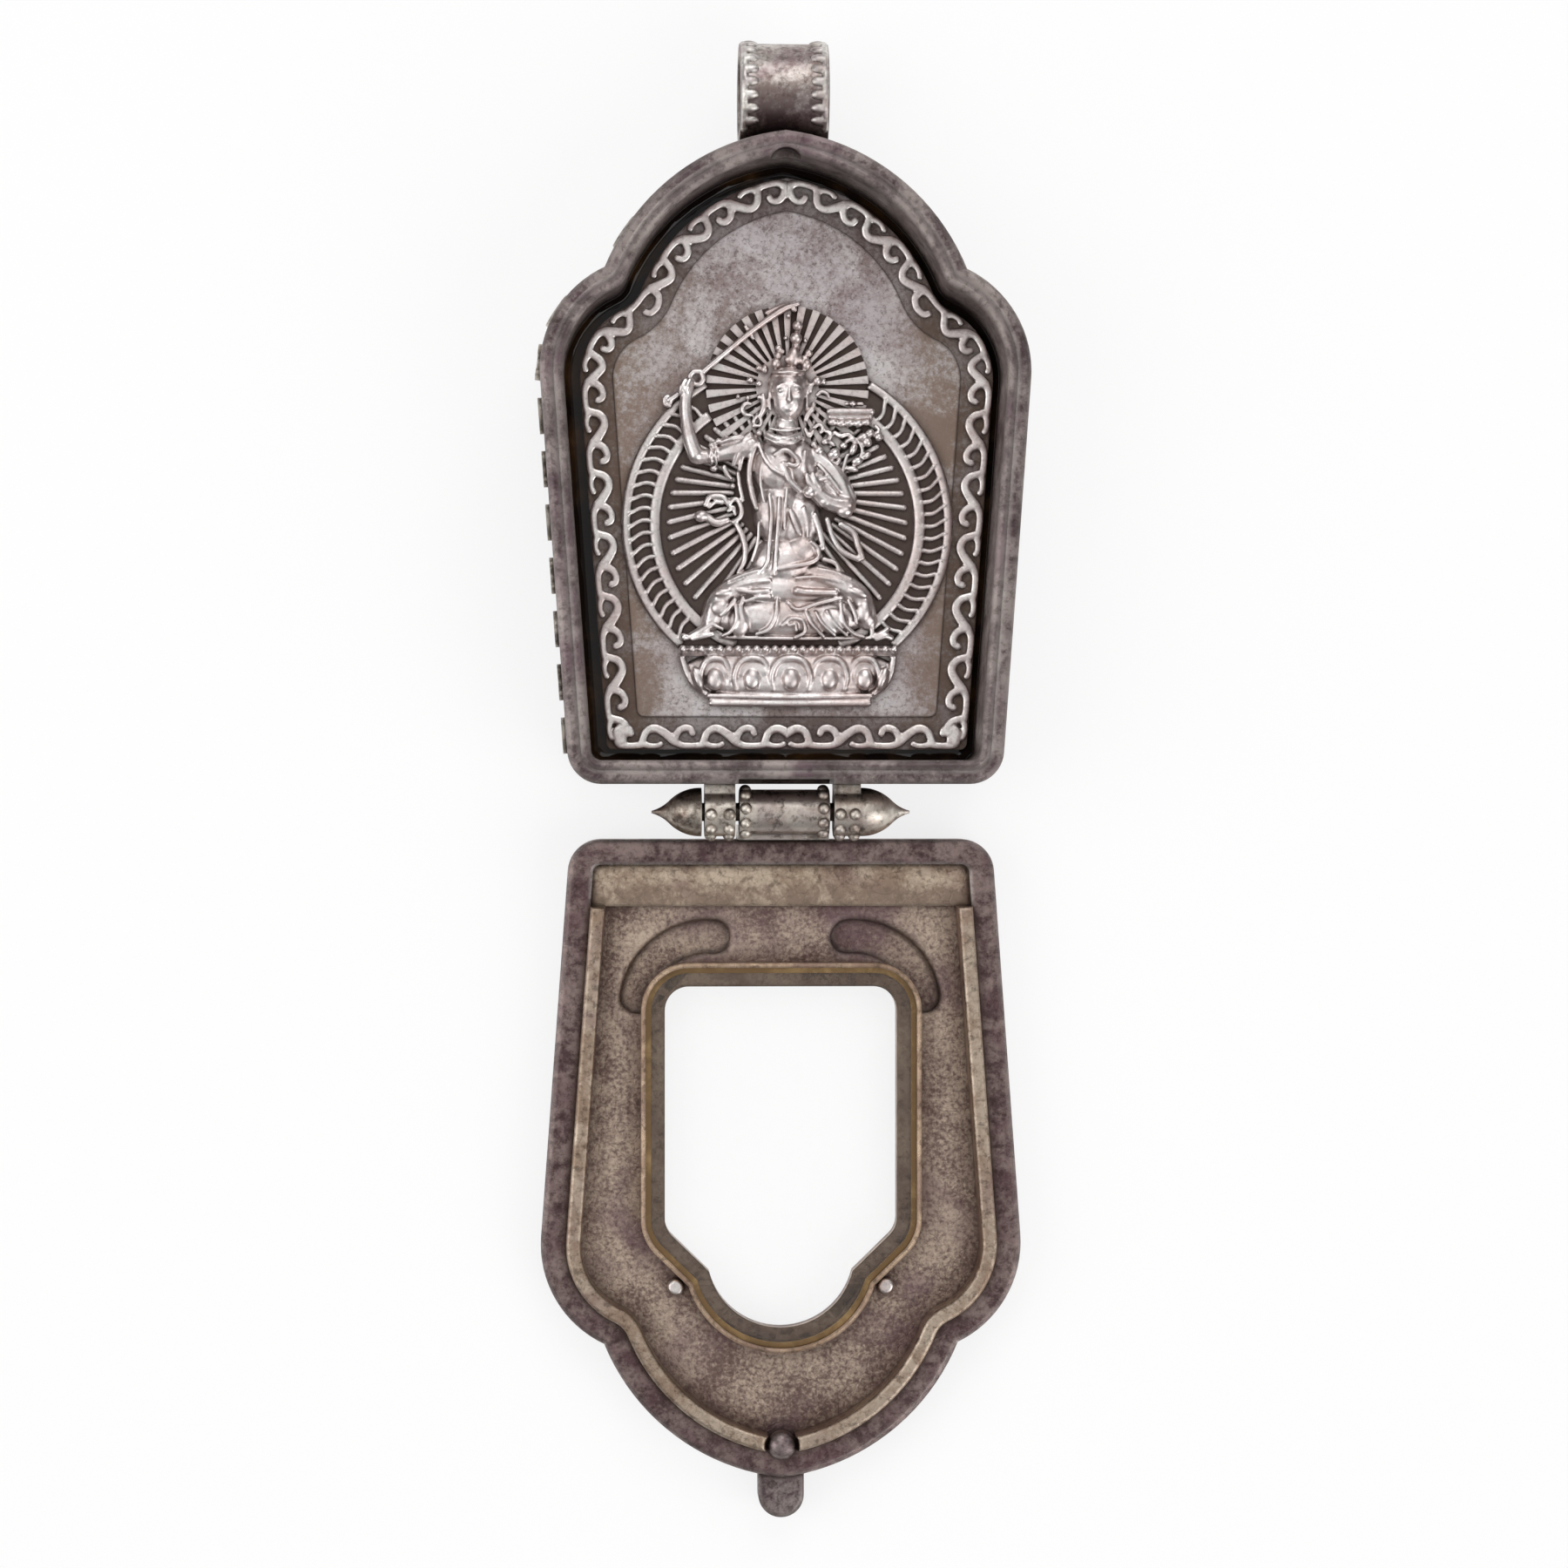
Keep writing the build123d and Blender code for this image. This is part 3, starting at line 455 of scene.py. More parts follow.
# Glossy cast resin, from near black where deep to amber where thin
def resinFinish(name, look, deep, thin, scale):
    material = blankMaterial(name)
    tree = material.node_tree
    place = addNode(tree, "ShaderNodeTexCoord").outputs["Object"]
    cloud = grain(tree, place, scale, 5.0, 0.6, 0.5)
    colour = mixColour(tree, spread(tree, cloud, *look["thinRange"]), deep, thin)
    ripple = grain(tree, place, scale * 3.0, 2.0, 0.5)
    waves = {"Strength": look["bump"], "Distance": look["bumpDepth"] * mm, "Height": ripple}
    skin = addNode(
        tree,
        "ShaderNodeBsdfPrincipled",
        {
            "Base Color": colour,
            "Roughness": spread(tree, cloud, *look["dullRange"], *look["rough"]),
            "Normal": addNode(tree, "ShaderNodeBump", waves).outputs[0],
            "Specular IOR Level": 0.22,
        },
    )
    addNode(tree, "ShaderNodeOutputMaterial", {"Surface": skin.outputs[0]})
    return material


paneGlass = glassFinish("paneGlass", glassLook)
bedResin = resinFinish("bedResin", resinLook, (0.008, 0.005, 0.004), (0.05, 0.024, 0.009), 160.0)
amberGlue = resinFinish("amberGlue", resinLook, (0.2, 0.12, 0.05), (0.38, 0.25, 0.11), 400.0)

finishes = {
    "back_plate": rimSilver,
    "side_wall": rimSilver,
    "mouth_liner": rimSilver,
    "wall_scrolls": hingeSilver,
    "bedding_resin": bedResin,
    "relief_plaque": fieldSilver,
    "scroll_border_right": scrollSilver,
    "scroll_border_left": scrollSilver,
    "aureole": haloSilver,
    "nimbus": haloSilver,
    "lotus_throne": reliefSilver,
    "seated_figure": reliefSilver,
    "sword": reliefSilver,
    "book_and_lotus": reliefSilver,
    "bail_band": loopSilver,
    "bail_beads": lobeSilver,
    "left_knuckle": hingeSilver,
    "right_knuckle": hingeSilver,
    "knuckle_granules": hingeSilver,
    "hinge_pin": budSilver,
    "centre_knuckle": hingeSilver,
    "centre_knuckle_beads": hingeSilver,
    "lid_band": flangeSilver,
    "lid_plate": lidSilver,
    "lid_collar": giltSilver,
    "hinge_strip": stripSilver,
    "window_frame": frameSilver,
    "window_pane": paneGlass,
    "pane_adhesive": amberGlue,
    "window_pins": scrollSilver,
    "catch_bead": rimSilver,
    "thumb_tab": rimSilver,
}
for nodeName, finish in finishes.items():
    surface = nodes[nodeName].data
    surface.materials.clear()
    surface.materials.append(finish)
print("finishes on", len(finishes), "nodes")


# Points of a smooth line through a row of places
def smoothLine(points, steps):
    if len(points) == 2:
        return [Vector(points[0]), Vector(points[1])]
    spots = [Vector(point) for point in points]
    spots = [spots[0] * 2 - spots[1]] + spots + [spots[-1] * 2 - spots[-2]]
    line = []
    for first, start, end, last in zip(spots, spots[1:], spots[2:], spots[3:]):
        for step in range(steps):
            t = step / steps
            line.append(
                0.5
                * (
                    2 * start
                    + (end - first) * t
                    + (2 * first - 5 * start + 4 * end - last) * t * t
                    + (3 * start - first - 3 * end + last) * t**3
                )
            )
    return line + [spots[-2]]


# Rounded strokes, each a row of (across, along, level, radius) in mm, as tubes with round ends
def addStrokes(form, strokes, steps=6):
    pen = bpy.data.curves.new("pen", "CURVE")
    pen.dimensions = "3D"
    pen.bevel_depth = mm
    pen.bevel_resolution = 3
    pen.use_fill_caps = True
    for stroke in strokes:
        line = smoothLine(stroke, steps)
        spline = pen.splines.new("POLY")
        spline.points.add(len(line) - 1)
        for point, spot in zip(spline.points, line):
            point.co = (spot[0] * mm, spot[1] * mm, spot[2] * mm, 1.0)
            point.radius = spot[3]
        for spot in (line[0], line[-1]):
            addMass(form, (spot[0], spot[1], spot[2], spot[3], spot[3], spot[3], 0), 2)
    holder = bpy.data.objects.new("pen", pen)
    bpy.context.scene.collection.objects.link(holder)
    drawn = bpy.data.meshes.new_from_object(holder.evaluated_get(bpy.context.evaluated_depsgraph_get()))
    form.from_mesh(drawn)
    bpy.data.objects.remove(holder)
    bpy.data.curves.remove(pen)
    bpy.data.meshes.remove(drawn)


# One rounded mass: place and half sizes in mm, turned in the plane by degrees
def addMass(form, mass, detail=3):
    across, along, level, halfAcross, halfAlong, halfUp, turn = mass
    place = Matrix.Translation(Vector((across, along, level)) * mm)
    swing = Matrix.Rotation(math.radians(turn), 4, "Z")
    size = Matrix.Diagonal((halfAcross * mm, halfAlong * mm, halfUp * mm, 1.0))
    bmesh.ops.create_icosphere(form, subdivisions=detail, radius=1.0, matrix=place @ swing @ size)


def evaluated(form, name, *modifiers):
    data = bpy.data.meshes.new(name)
    form.to_mesh(data)
    form.free()
    piece = bpy.data.objects.new(name, data)
    bpy.context.scene.collection.objects.link(piece)
    for kind, settings in modifiers:
        modifier = piece.modifiers.new(kind, kind)
        for key, value in settings.items():
            setattr(modifier, key, value)
    if modifiers:
        made = bpy.data.meshes.new_from_object(piece.evaluated_get(bpy.context.evaluated_depsgraph_get()))
        piece.modifiers.clear()
        piece.data = made
        bpy.data.meshes.remove(data)
        made.name = name
    return piece


# Cut away what lies on the outer side of a plane and close the cut
def cutFlat(form, place, outward):
    everything = form.verts[:] + form.edges[:] + form.faces[:]
    cut = bmesh.ops.bisect_plane(form, geom=everything, plane_co=place, plane_no=outward, clear_outer=True)
    rim = [part for part in cut["geom_cut"] if isinstance(part, bmesh.types.BMEdge)]
    bmesh.ops.holes_fill(form, edges=rim, sides=0)


# Melt overlapping masses and strokes into one worn casting, cut flat underneath
def castPiece(name, form, plan, finish, side=0):
    piece = evaluated(
        form,
        name,
        ("REMESH", {"mode": "VOXEL", "voxel_size": plan["voxel"] * mm}),
        ("SMOOTH", {"factor": 0.5, "iterations": plan["smooth"]}),
    )
    cast = bmesh.new()
    cast.from_mesh(piece.data)
    if "ceiling" in plan:  # flatten the tops softly
        low, high = plan["ceiling"]
        for vert in cast.verts:
            rise = vert.co.z / mm - low
            if rise > 0:
                vert.co.z = (low + (high - low) * math.tanh(rise / (high - low))) * mm
    if side:
        cutFlat(cast, (plaqueMiddle * mm, 0, 0), (-side, 0, 0))
    cutFlat(cast, (0, 0, plan["base"] * mm), (0, 0, -1))
    bmesh.ops.recalc_face_normals(cast, faces=cast.faces[:])
    for face in cast.faces:
        face.smooth = abs(face.normal.z + 1) > 0.001
    cast.to_mesh(piece.data)
    cast.free()
    piece.data.materials.append(finish)
    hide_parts(name)
    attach(piece, "case")
    print(name, "cast in", len(piece.data.polygons), "faces")
    return piece


# From the relief's own places, across from its middle line and up from the hinge edge, to the frame
def onRelief(rows, level):
    return [[(u + plaqueMiddle, w + hingeEdge, h + level, r) for u, w, h, r in row] for row in rows]


def massesOnRelief(rows, level):
    return [(u + plaqueMiddle, w + hingeEdge, h + level, a, b, c, turn) for u, w, h, a, b, c, turn in rows]


# Masses: across, along, level over the halo, three half sizes, turn. Strokes: across, along, level, radius.
figure = {
    "voxel": 0.085,
    "smooth": 4,
    "base": 5.45,
    "masses": (
        (0.1, 33.1, 0.2, 1.75, 1.6, 1.2, 0),
        (0.05, 32.45, 0.75, 1.42, 1.6, 1.25, 0),
        (0.05, 31.6, 0.75, 1.25, 1.6, 1.18, 0),
        (2.9, 24.7, -0.3, 1.9, 1.8, 1.4, 0),
        (0.05, 30.6, 1.25, 0.45, 0.42, 0.42, 0),
        (-0.52, 32.4, 1.78, 0.36, 0.15, 0.16, -4),
        (0.62, 32.4, 1.78, 0.36, 0.15, 0.16, 4),
        (0.05, 31.02, 1.75, 0.34, 0.11, 0.16, 0),
        (0.05, 30.85, 1.72, 0.26, 0.1, 0.15, 0),
        (-0.1, 29.7, 0.2, 1.0, 1.1, 0.95, 0),
        (0.5, 35.3, 0.75, 0.5, 0.85, 0.5, 0),
        (0.1, 35.1, 0.7, 0.42, 0.4, 0.4, 0),
        (0.9, 35.1, 0.7, 0.42, 0.4, 0.4, 0),
        (-0.95, 34.75, 0.75, 0.42, 0.5, 0.42, 15),
        (-0.8, 35.4, 0.6, 0.32, 0.34, 0.32, 0),
        (-0.75, 36.05, 0.5, 0.3, 0.3, 0.3, 0),
        (-0.4, 35.75, 0.5, 0.2, 0.2, 0.2, 0),
        (1.55, 34.65, 0.75, 0.42, 0.5, 0.42, -15),
        (1.45, 35.2, 0.6, 0.3, 0.32, 0.3, 0),
        (1.75, 35.65, 0.5, 0.33, 0.33, 0.33, 0),
        (0.7, 36.2, 0.4, 0.36, 0.4, 0.5, 0),
        (0.68, 36.85, 0.7, 0.5, 0.5, 0.5, 0),
        (0.82, 37.9, 0.6, 0.42, 0.45, 0.45, 0),
        (-0.15, 36.9, 0.25, 0.2, 0.2, 0.3, 0),
        (1.45, 36.7, 0.25, 0.22, 0.22, 0.3, 0),
        (-2.4, 34.4, 0.25, 0.27, 0.27, 0.35, 0),
        (-1.9, 34.3, 0.35, 0.32, 0.42, 0.4, 0),
        (-3.1, 33.4, 0.3, 0.32, 0.32, 0.4, 0),
        (-2.4, 33.1, 0.4, 0.32, 0.3, 0.4, 0),
        (-3.3, 31.95, 0.2, 0.22, 0.22, 0.35, 0),
        (-2.35, 32.0, 0.2, 0.22, 0.25, 0.35, 0),
        (-4.1, 32.05, 0.1, 0.2, 0.2, 0.3, 0),
        (2.45, 33.35, 0.4, 0.4, 0.42, 0.45, 0),
        (3.0, 33.3, 0.2, 0.22, 0.3, 0.35, 0),
        (2.15, 31.4, 0.35, 0.22, 0.3, 0.4, 0),
        (-3.2, 28.8, 0.75, 0.36, 0.34, 0.45, 0),
        (-2.4, 29.0, 0.8, 0.3, 0.3, 0.4, 0),
        (1.25, 28.5, 0.7, 0.24, 0.24, 0.4, 0),
        (-0.9, 26.2, -0.35, 2.3, 2.6, 2.15, 8),
        (0.9, 26.4, -0.4, 1.9, 2.2, 2.0, 0),
        (-0.7, 22.6, -0.4, 2.2, 3.0, 1.9, 0),
        (0.9, 21.8, -0.4, 2.0, 2.8, 1.85, 0),
        (-0.2, 18.4, -0.4, 2.9, 2.3, 1.75, 0),
        (1.2, 19.4, 0.5, 1.3, 1.3, 0.85, 0),
        (0.2, 16.2, -0.5, 5.4, 1.8, 1.6, 0),
        (0.2, 13.9, -0.5, 6.9, 2.0, 1.45, 0),
        (-5.35, 15.8, 0.75, 0.8, 0.4, 0.4, 10),
        (-5.6, 14.6, 0.6, 0.85, 0.7, 0.5, 20),
        (5.8, 15.85, 0.75, 0.95, 0.42, 0.42, -25),
        (6.3, 14.3, 0.5, 0.65, 1.0, 0.5, 0),
        (-6.3, 28.0, 0.65, 0.28, 0.28, 0.35, 0),
        (-5.75, 28.3, 0.65, 0.3, 0.28, 0.35, 0),
        (-5.15, 28.5, 0.6, 0.3, 0.3, 0.35, 0),
        (-6.1, 26.1, 0.3, 0.35, 0.28, 0.4, 0),
        (-4.55, 24.65, 0.1, 0.26, 0.26, 0.35, 0),
        (3.1, 23.35, 1.1, 0.6, 0.55, 0.5, 0),
        (4.7, 22.55, 0.8, 0.7, 0.55, 0.55, 0),
        (1.75, 24.0, 1.5, 0.5, 0.42, 0.42, 0),
        (2.5, 24.6, 1.2, 0.5, 0.5, 0.5, 0),
        (-7.15, 22.15, 0.2, 0.6, 0.5, 0.5, 15),
        (-8.55, 12.15, -0.1, 0.38, 0.38, 0.5, 0),
        (-4.0, 13.4, 0.5, 0.9, 1.2, 0.5, 0),
        (3.6, 13.5, 0.5, 1.4, 1.1, 0.5, 0),
    ),
    "strokes": (
        ((0.05, 33.0, 1.85, 0.1), (0.05, 32.2, 2.0, 0.14), (0.05, 31.65, 2.02, 0.22)),
        ((0.15, 32.75, 1.88, 0.08), (0.55, 32.98, 1.86, 0.1), (1.15, 32.72, 1.5, 0.08)),
        ((-0.05, 32.75, 1.88, 0.08), (-0.45, 32.98, 1.86, 0.1), (-1.05, 32.72, 1.5, 0.08)),
        ((-1.4, 33.0, 0.45, 0.15), (-1.5, 32.0, 0.45, 0.15), (-1.45, 31.0, 0.45, 0.17)),
        ((1.5, 33.0, 0.45, 0.15), (1.6, 32.0, 0.45, 0.15), (1.55, 31.0, 0.45, 0.17)),
        (
            (-1.2, 34.05, 0.85, 0.17), (-0.6, 33.98, 1.4, 0.18), (0.05, 33.95, 1.55, 0.18),
            (0.7, 33.98, 1.4, 0.18), (1.3, 34.05, 0.85, 0.17),
        ),
        (
            (-3.05, 31.45, 0.3, 0.14), (-3.55, 31.45, 0.3, 0.18), (-3.75, 31.0, 0.3, 0.2),
            (-3.5, 30.55, 0.3, 0.18), (-3.0, 30.5, 0.3, 0.14),
        ),
        ((-2.05, 32.2, 0.4, 0.18), (-1.98, 31.2, 0.5, 0.26), (-2.25, 30.5, 0.45, 0.2)),
        (
            (-2.85, 29.95, 0.4, 0.17), (-2.6, 30.4, 0.4, 0.17), (-2.2, 30.15, 0.4, 0.17),
            (-2.3, 29.65, 0.4, 0.17), (-2.8, 29.6, 0.4, 0.17),
        ),
        ((2.4, 32.2, 0.25, 0.17), (2.8, 32.5, 0.25, 0.18), (3.3, 32.3, 0.25, 0.17), (3.4, 32.05, 0.25, 0.14)),
        ((1.95, 33.0, 0.45, 0.2), (1.85, 32.5, 0.45, 0.2)),
        ((2.0, 31.0, 0.45, 0.26), (1.6, 30.5, 0.5, 0.26), (1.5, 30.1, 0.5, 0.2)),
        ((1.45, 29.35, 0.5, 0.18), (1.75, 28.75, 0.55, 0.18), (2.1, 29.2, 0.5, 0.18)),
        ((-1.5, 29.4, 0.8, 0.14), (-0.3, 29.15, 1.25, 0.15), (0.95, 29.4, 0.8, 0.14)),
        ((-1.75, 29.0, 1.0, 0.17), (-0.9, 28.6, 1.55, 0.2), (-0.1, 28.5, 1.65, 0.2), (1.0, 28.95, 1.0, 0.17)),
        ((-1.85, 28.6, 1.1, 0.17), (-0.9, 28.15, 1.7, 0.18), (0.2, 28.1, 1.7, 0.18), (1.1, 28.6, 1.1, 0.17)),
        (
            (-8.2, 33.1, 0.4, 0.5), (-8.45, 31.6, 0.4, 0.52), (-8.38, 30.0, 0.45, 0.52),
            (-8.05, 28.4, 0.5, 0.62), (-7.6, 27.15, 0.5, 0.68),
        ),
        ((-8.5, 33.3, 0.6, 0.28), (-8.75, 32.8, 0.7, 0.3), (-8.85, 32.3, 0.6, 0.26)),
        ((-8.1, 33.35, 0.7, 0.22), (-8.35, 32.75, 0.85, 0.24), (-8.45, 32.2, 0.7, 0.2)),
        ((-7.5, 27.05, 0.4, 0.66), (-6.1, 27.15, 0.4, 0.6), (-4.7, 27.55, 0.4, 0.85), (-3.2, 27.9, 0.3, 1.1)),
        ((-6.3, 27.8, 0.65, 0.13), (-6.42, 27.1, 1.0, 0.14), (-6.3, 26.5, 0.7, 0.13)),
        ((-5.9, 27.85, 0.65, 0.13), (-6.02, 27.15, 1.05, 0.14), (-5.9, 26.45, 0.7, 0.13)),
        ((-4.5, 26.4, 0.6, 0.22), (-4.1, 27.5, 1.05, 0.24), (-3.5, 28.55, 0.95, 0.24)),
        ((-5.6, 28.2, 0.8, 0.18), (-4.7, 28.5, 1.0, 0.22), (-3.9, 28.7, 0.95, 0.2)),
        ((-5.25, 26.2, 0.4, 0.24), (-5.0, 25.6, 0.3, 0.22), (-4.7, 25.3, 0.2, 0.18)),
        ((-2.95, 28.3, 1.1, 0.24), (-3.7, 27.2, 0.8, 0.24), (-4.0, 26.0, 0.5, 0.2)),
        ((-4.1, 25.8, 0.2, 0.18), (-3.95, 24.6, 0.2, 0.2), (-3.7, 23.5, 0.2, 0.18)),
        (
            (-2.6, 28.1, 1.2, 0.24), (-3.05, 26.9, 0.95, 0.24), (-3.2, 25.4, 0.85, 0.25),
            (-2.95, 23.9, 0.85, 0.24), (-2.6, 22.8, 0.85, 0.22),
        ),
        (
            (-2.45, 28.1, 1.35, 0.16), (-2.0, 26.9, 1.6, 0.16), (-1.3, 26.0, 1.75, 0.17),
            (-0.5, 25.5, 1.8, 0.17),
        ),
        (
            (-1.1, 27.15, 1.7, 0.2), (-0.5, 27.5, 1.75, 0.22), (0.1, 27.4, 1.75, 0.22),
            (0.8, 26.65, 1.65, 0.22), (0.5, 26.25, 1.7, 0.2), (-0.02, 26.4, 1.75, 0.18),
        ),
        ((1.37, 27.4, 1.35, 0.2), (1.3, 26.4, 1.5, 0.2), (1.4, 25.45, 1.45, 0.2)),
        ((-0.45, 26.4, 1.65, 0.26), (0.05, 25.1, 1.65, 0.3), (0.95, 24.2, 1.5, 0.26)),
        ((2.3, 27.2, 0.2, 0.85), (4.0, 25.4, 0.2, 0.9), (4.9, 23.5, 0.1, 0.9)),
        ((3.0, 27.0, 0.8, 0.15), (3.9, 26.0, 0.95, 0.17), (4.7, 24.9, 0.85, 0.15)),
        ((2.5, 26.4, 1.05, 0.15), (3.4, 25.4, 1.1, 0.17), (4.3, 24.2, 1.0, 0.15)),
        ((5.1, 24.6, 0.7, 0.15), (5.5, 23.6, 0.6, 0.16), (5.5, 22.6, 0.5, 0.14)),
        ((3.3, 24.6, 1.0, 0.14), (3.9, 24.0, 1.0, 0.16), (4.2, 23.2, 1.0, 0.14)),
        ((4.8, 23.1, 0.5, 0.8), (3.5, 23.3, 0.8, 0.75), (2.3, 24.2, 1.1, 0.6)),
        ((2.2, 24.2, 1.4, 0.32), (1.7, 24.9, 1.6, 0.28), (1.5, 25.5, 1.65, 0.2)),
        ((2.6, 24.3, 1.4, 0.28), (2.2, 25.0, 1.6, 0.25), (2.0, 25.6, 1.6, 0.18)),
        ((1.4, 25.4, 1.5, 0.18), (2.2, 25.2, 1.5, 0.2), (3.1, 25.3, 1.2, 0.2)),
        (
            (-1.55, 23.9, 1.5, 0.16), (-1.4, 22.2, 1.5, 0.18), (-1.55, 20.0, 1.4, 0.18),
            (-1.7, 18.4, 1.3, 0.18), (-2.3, 17.4, 1.0, 0.16),
        ),
        (
            (-0.75, 23.6, 1.55, 0.16), (-0.8, 22.2, 1.5, 0.18), (-0.95, 20.0, 1.4, 0.18),
            (-1.05, 18.4, 1.35, 0.18), (-1.2, 17.3, 1.15, 0.16),
        ),
        ((0.15, 22.6, 1.5, 0.2), (0.55, 21.6, 1.5, 0.28), (0.95, 20.6, 1.45, 0.22)),
        (
            (-0.75, 17.75, 1.2, 0.2), (0.5, 18.0, 1.25, 0.22), (1.6, 18.2, 1.25, 0.22),
            (2.4, 18.6, 1.1, 0.2), (2.5, 19.4, 1.0, 0.2), (1.9, 20.0, 1.2, 0.16),
        ),
        ((2.2, 22.2, 1.0, 0.26), (2.65, 20.8, 0.9, 0.28), (2.9, 19.5, 0.8, 0.24)),
        ((3.25, 21.9, 0.6, 0.24), (3.7, 20.5, 0.4, 0.25), (4.5, 19.3, 0.3, 0.28), (5.9, 18.6, 0.2, 0.26)),
        ((4.4, 21.5, 0.5, 0.28), (5.45, 20.8, 0.35, 0.28), (5.85, 19.7, 0.3, 0.28), (6.2, 18.7, 0.2, 0.24)),
        ((2.95, 18.6, 0.5, 0.22), (3.9, 18.3, 0.4, 0.22), (4.3, 17.7, 0.4, 0.2)),
        (
            (-6.8, 23.1, 0.15, 0.24), (-6.4, 23.75, 0.15, 0.25), (-5.4, 23.75, 0.2, 0.25),
            (-4.9, 23.2, 0.2, 0.22),
        ),
        ((-6.5, 22.9, 0.15, 0.18), (-6.0, 23.3, 0.15, 0.18), (-5.4, 23.25, 0.15, 0.16)),
        ((-6.7, 22.1, 0.15, 0.35), (-5.9, 21.6, 0.15, 0.36), (-5.0, 21.8, 0.2, 0.28)),
        (
            (-4.9, 23.1, 0.2, 0.2), (-4.3, 23.6, 0.25, 0.2), (-3.85, 22.9, 0.3, 0.22),
            (-3.9, 22.1, 0.3, 0.22), (-4.5, 21.65, 0.25, 0.2),
        ),
        ((-4.9, 22.6, 0.2, 0.18), (-4.45, 22.9, 0.2, 0.16), (-4.35, 22.3, 0.2, 0.16)),
        (
            (-4.3, 21.6, 0.2, 0.22), (-3.75, 20.5, 0.25, 0.27), (-3.5, 19.4, 0.25, 0.26),
            (-3.65, 18.3, 0.25, 0.22), (-4.1, 17.5, 0.25, 0.16),
        ),
        ((-2.0, 17.2, 0.0, 1.15), (-4.2, 16.2, -0.1, 1.1), (-5.7, 15.1, -0.1, 1.0), (-6.3, 13.6, -0.2, 0.95)),
        ((-1.5, 16.8, 1.1, 0.14), (-3.2, 16.6, 1.0, 0.15), (-4.9, 16.2, 0.75, 0.14)),
        ((-2.2, 17.7, 1.0, 0.14), (-3.6, 17.3, 0.9, 0.15), (-4.9, 16.75, 0.65, 0.14)),
        ((2.2, 17.4, 0.0, 1.15), (4.4, 16.5, -0.1, 1.1), (6.0, 15.4, -0.1, 1.0), (6.6, 13.6, -0.2, 0.95)),
        ((0.6, 17.0, 1.2, 0.14), (2.4, 17.1, 1.1, 0.16), (4.4, 16.7, 0.9, 0.15), (5.4, 16.3, 0.7, 0.13)),
        ((2.4, 17.8, 0.95, 0.14), (3.9, 17.5, 0.85, 0.15), (5.2, 17.0, 0.6, 0.14)),
        ((-2.2, 26.4, 1.3, 0.13), (-2.3, 25.0, 1.35, 0.14), (-2.0, 23.3, 1.35, 0.13)),
        ((-0.1, 24.4, 1.6, 0.13), (-0.25, 22.8, 1.5, 0.15), (-0.3, 21.0, 1.4, 0.13)),
        ((1.3, 22.8, 1.35, 0.14), (1.6, 21.6, 1.3, 0.15), (1.6, 20.4, 1.3, 0.13)),
        ((-2.4, 21.6, 0.9, 0.14), (-2.5, 20.0, 0.9, 0.15), (-3.0, 18.4, 0.75, 0.14)),
        (
            (-4.3, 14.8, 0.95, 0.18), (-4.25, 13.5, 0.95, 0.2), (-4.75, 12.6, 0.8, 0.18),
            (-5.4, 12.25, 0.6, 0.16),
        ),
        ((-5.5, 13.9, 0.8, 0.16), (-5.0, 14.4, 0.95, 0.18), (-4.4, 15.2, 1.0, 0.2)),
        ((-6.3, 14.9, 0.6, 0.2), (-6.5, 14.0, 0.5, 0.2), (-6.1, 13.2, 0.55, 0.18), (-5.4, 12.8, 0.6, 0.16)),
        ((-8.2, 12.15, 0.0, 0.3), (-7.4, 12.5, 0.15, 0.42), (-6.4, 13.1, 0.3, 0.36)),
        ((-7.9, 12.0, 0.25, 0.2), (-7.1, 12.2, 0.4, 0.24), (-6.2, 12.4, 0.45, 0.2)),
        ((-4.4, 16.1, 0.8, 0.2), (-2.95, 15.85, 0.95, 0.24), (-1.6, 15.95, 1.0, 0.2)),
        ((-3.7, 15.4, 0.85, 0.18), (-3.9, 14.6, 0.85, 0.2), (-3.6, 13.3, 0.85, 0.16)),
        ((-3.5, 15.1, 0.95, 0.16), (-2.6, 15.4, 1.0, 0.16), (-1.5, 15.45, 1.0, 0.16)),
        ((-0.9, 15.2, 0.95, 0.16), (-1.0, 13.9, 0.9, 0.2), (-1.6, 12.8, 0.8, 0.2), (-2.6, 12.4, 0.7, 0.14)),
        ((0.75, 15.95, 1.15, 0.34), (1.6, 15.85, 1.1, 0.3), (3.9, 15.8, 0.95, 0.28)),
        ((0.0, 15.0, 1.0, 0.16), (0.8, 14.4, 1.0, 0.18), (2.4, 14.9, 1.0, 0.18), (4.4, 15.4, 0.9, 0.18)),
        (
            (-0.45, 13.1, 0.9, 0.16), (0.2, 13.65, 0.95, 0.17), (1.2, 13.5, 0.95, 0.17),
            (1.4, 12.6, 0.85, 0.17), (0.6, 12.1, 0.75, 0.16),
        ),
        ((0.1, 13.1, 0.95, 0.14), (0.6, 13.2, 0.95, 0.14), (0.7, 12.7, 0.9, 0.14)),
        ((1.4, 14.4, 0.95, 0.17), (2.0, 13.2, 0.95, 0.18), (2.95, 12.2, 0.75, 0.16)),
        ((2.3, 14.2, 0.95, 0.14), (2.9, 13.2, 0.95, 0.15), (3.9, 12.3, 0.75, 0.14)),
        ((3.2, 14.3, 0.95, 0.14), (3.9, 13.2, 0.9, 0.15), (4.9, 12.3, 0.7, 0.14)),
        ((4.35, 14.9, 0.9, 0.2), (4.6, 13.4, 0.85, 0.2), (5.4, 12.5, 0.65, 0.2), (6.3, 12.2, 0.5, 0.16)),
        ((5.0, 15.2, 0.8, 0.16), (5.5, 14.2, 0.8, 0.18), (5.7, 13.3, 0.7, 0.16)),
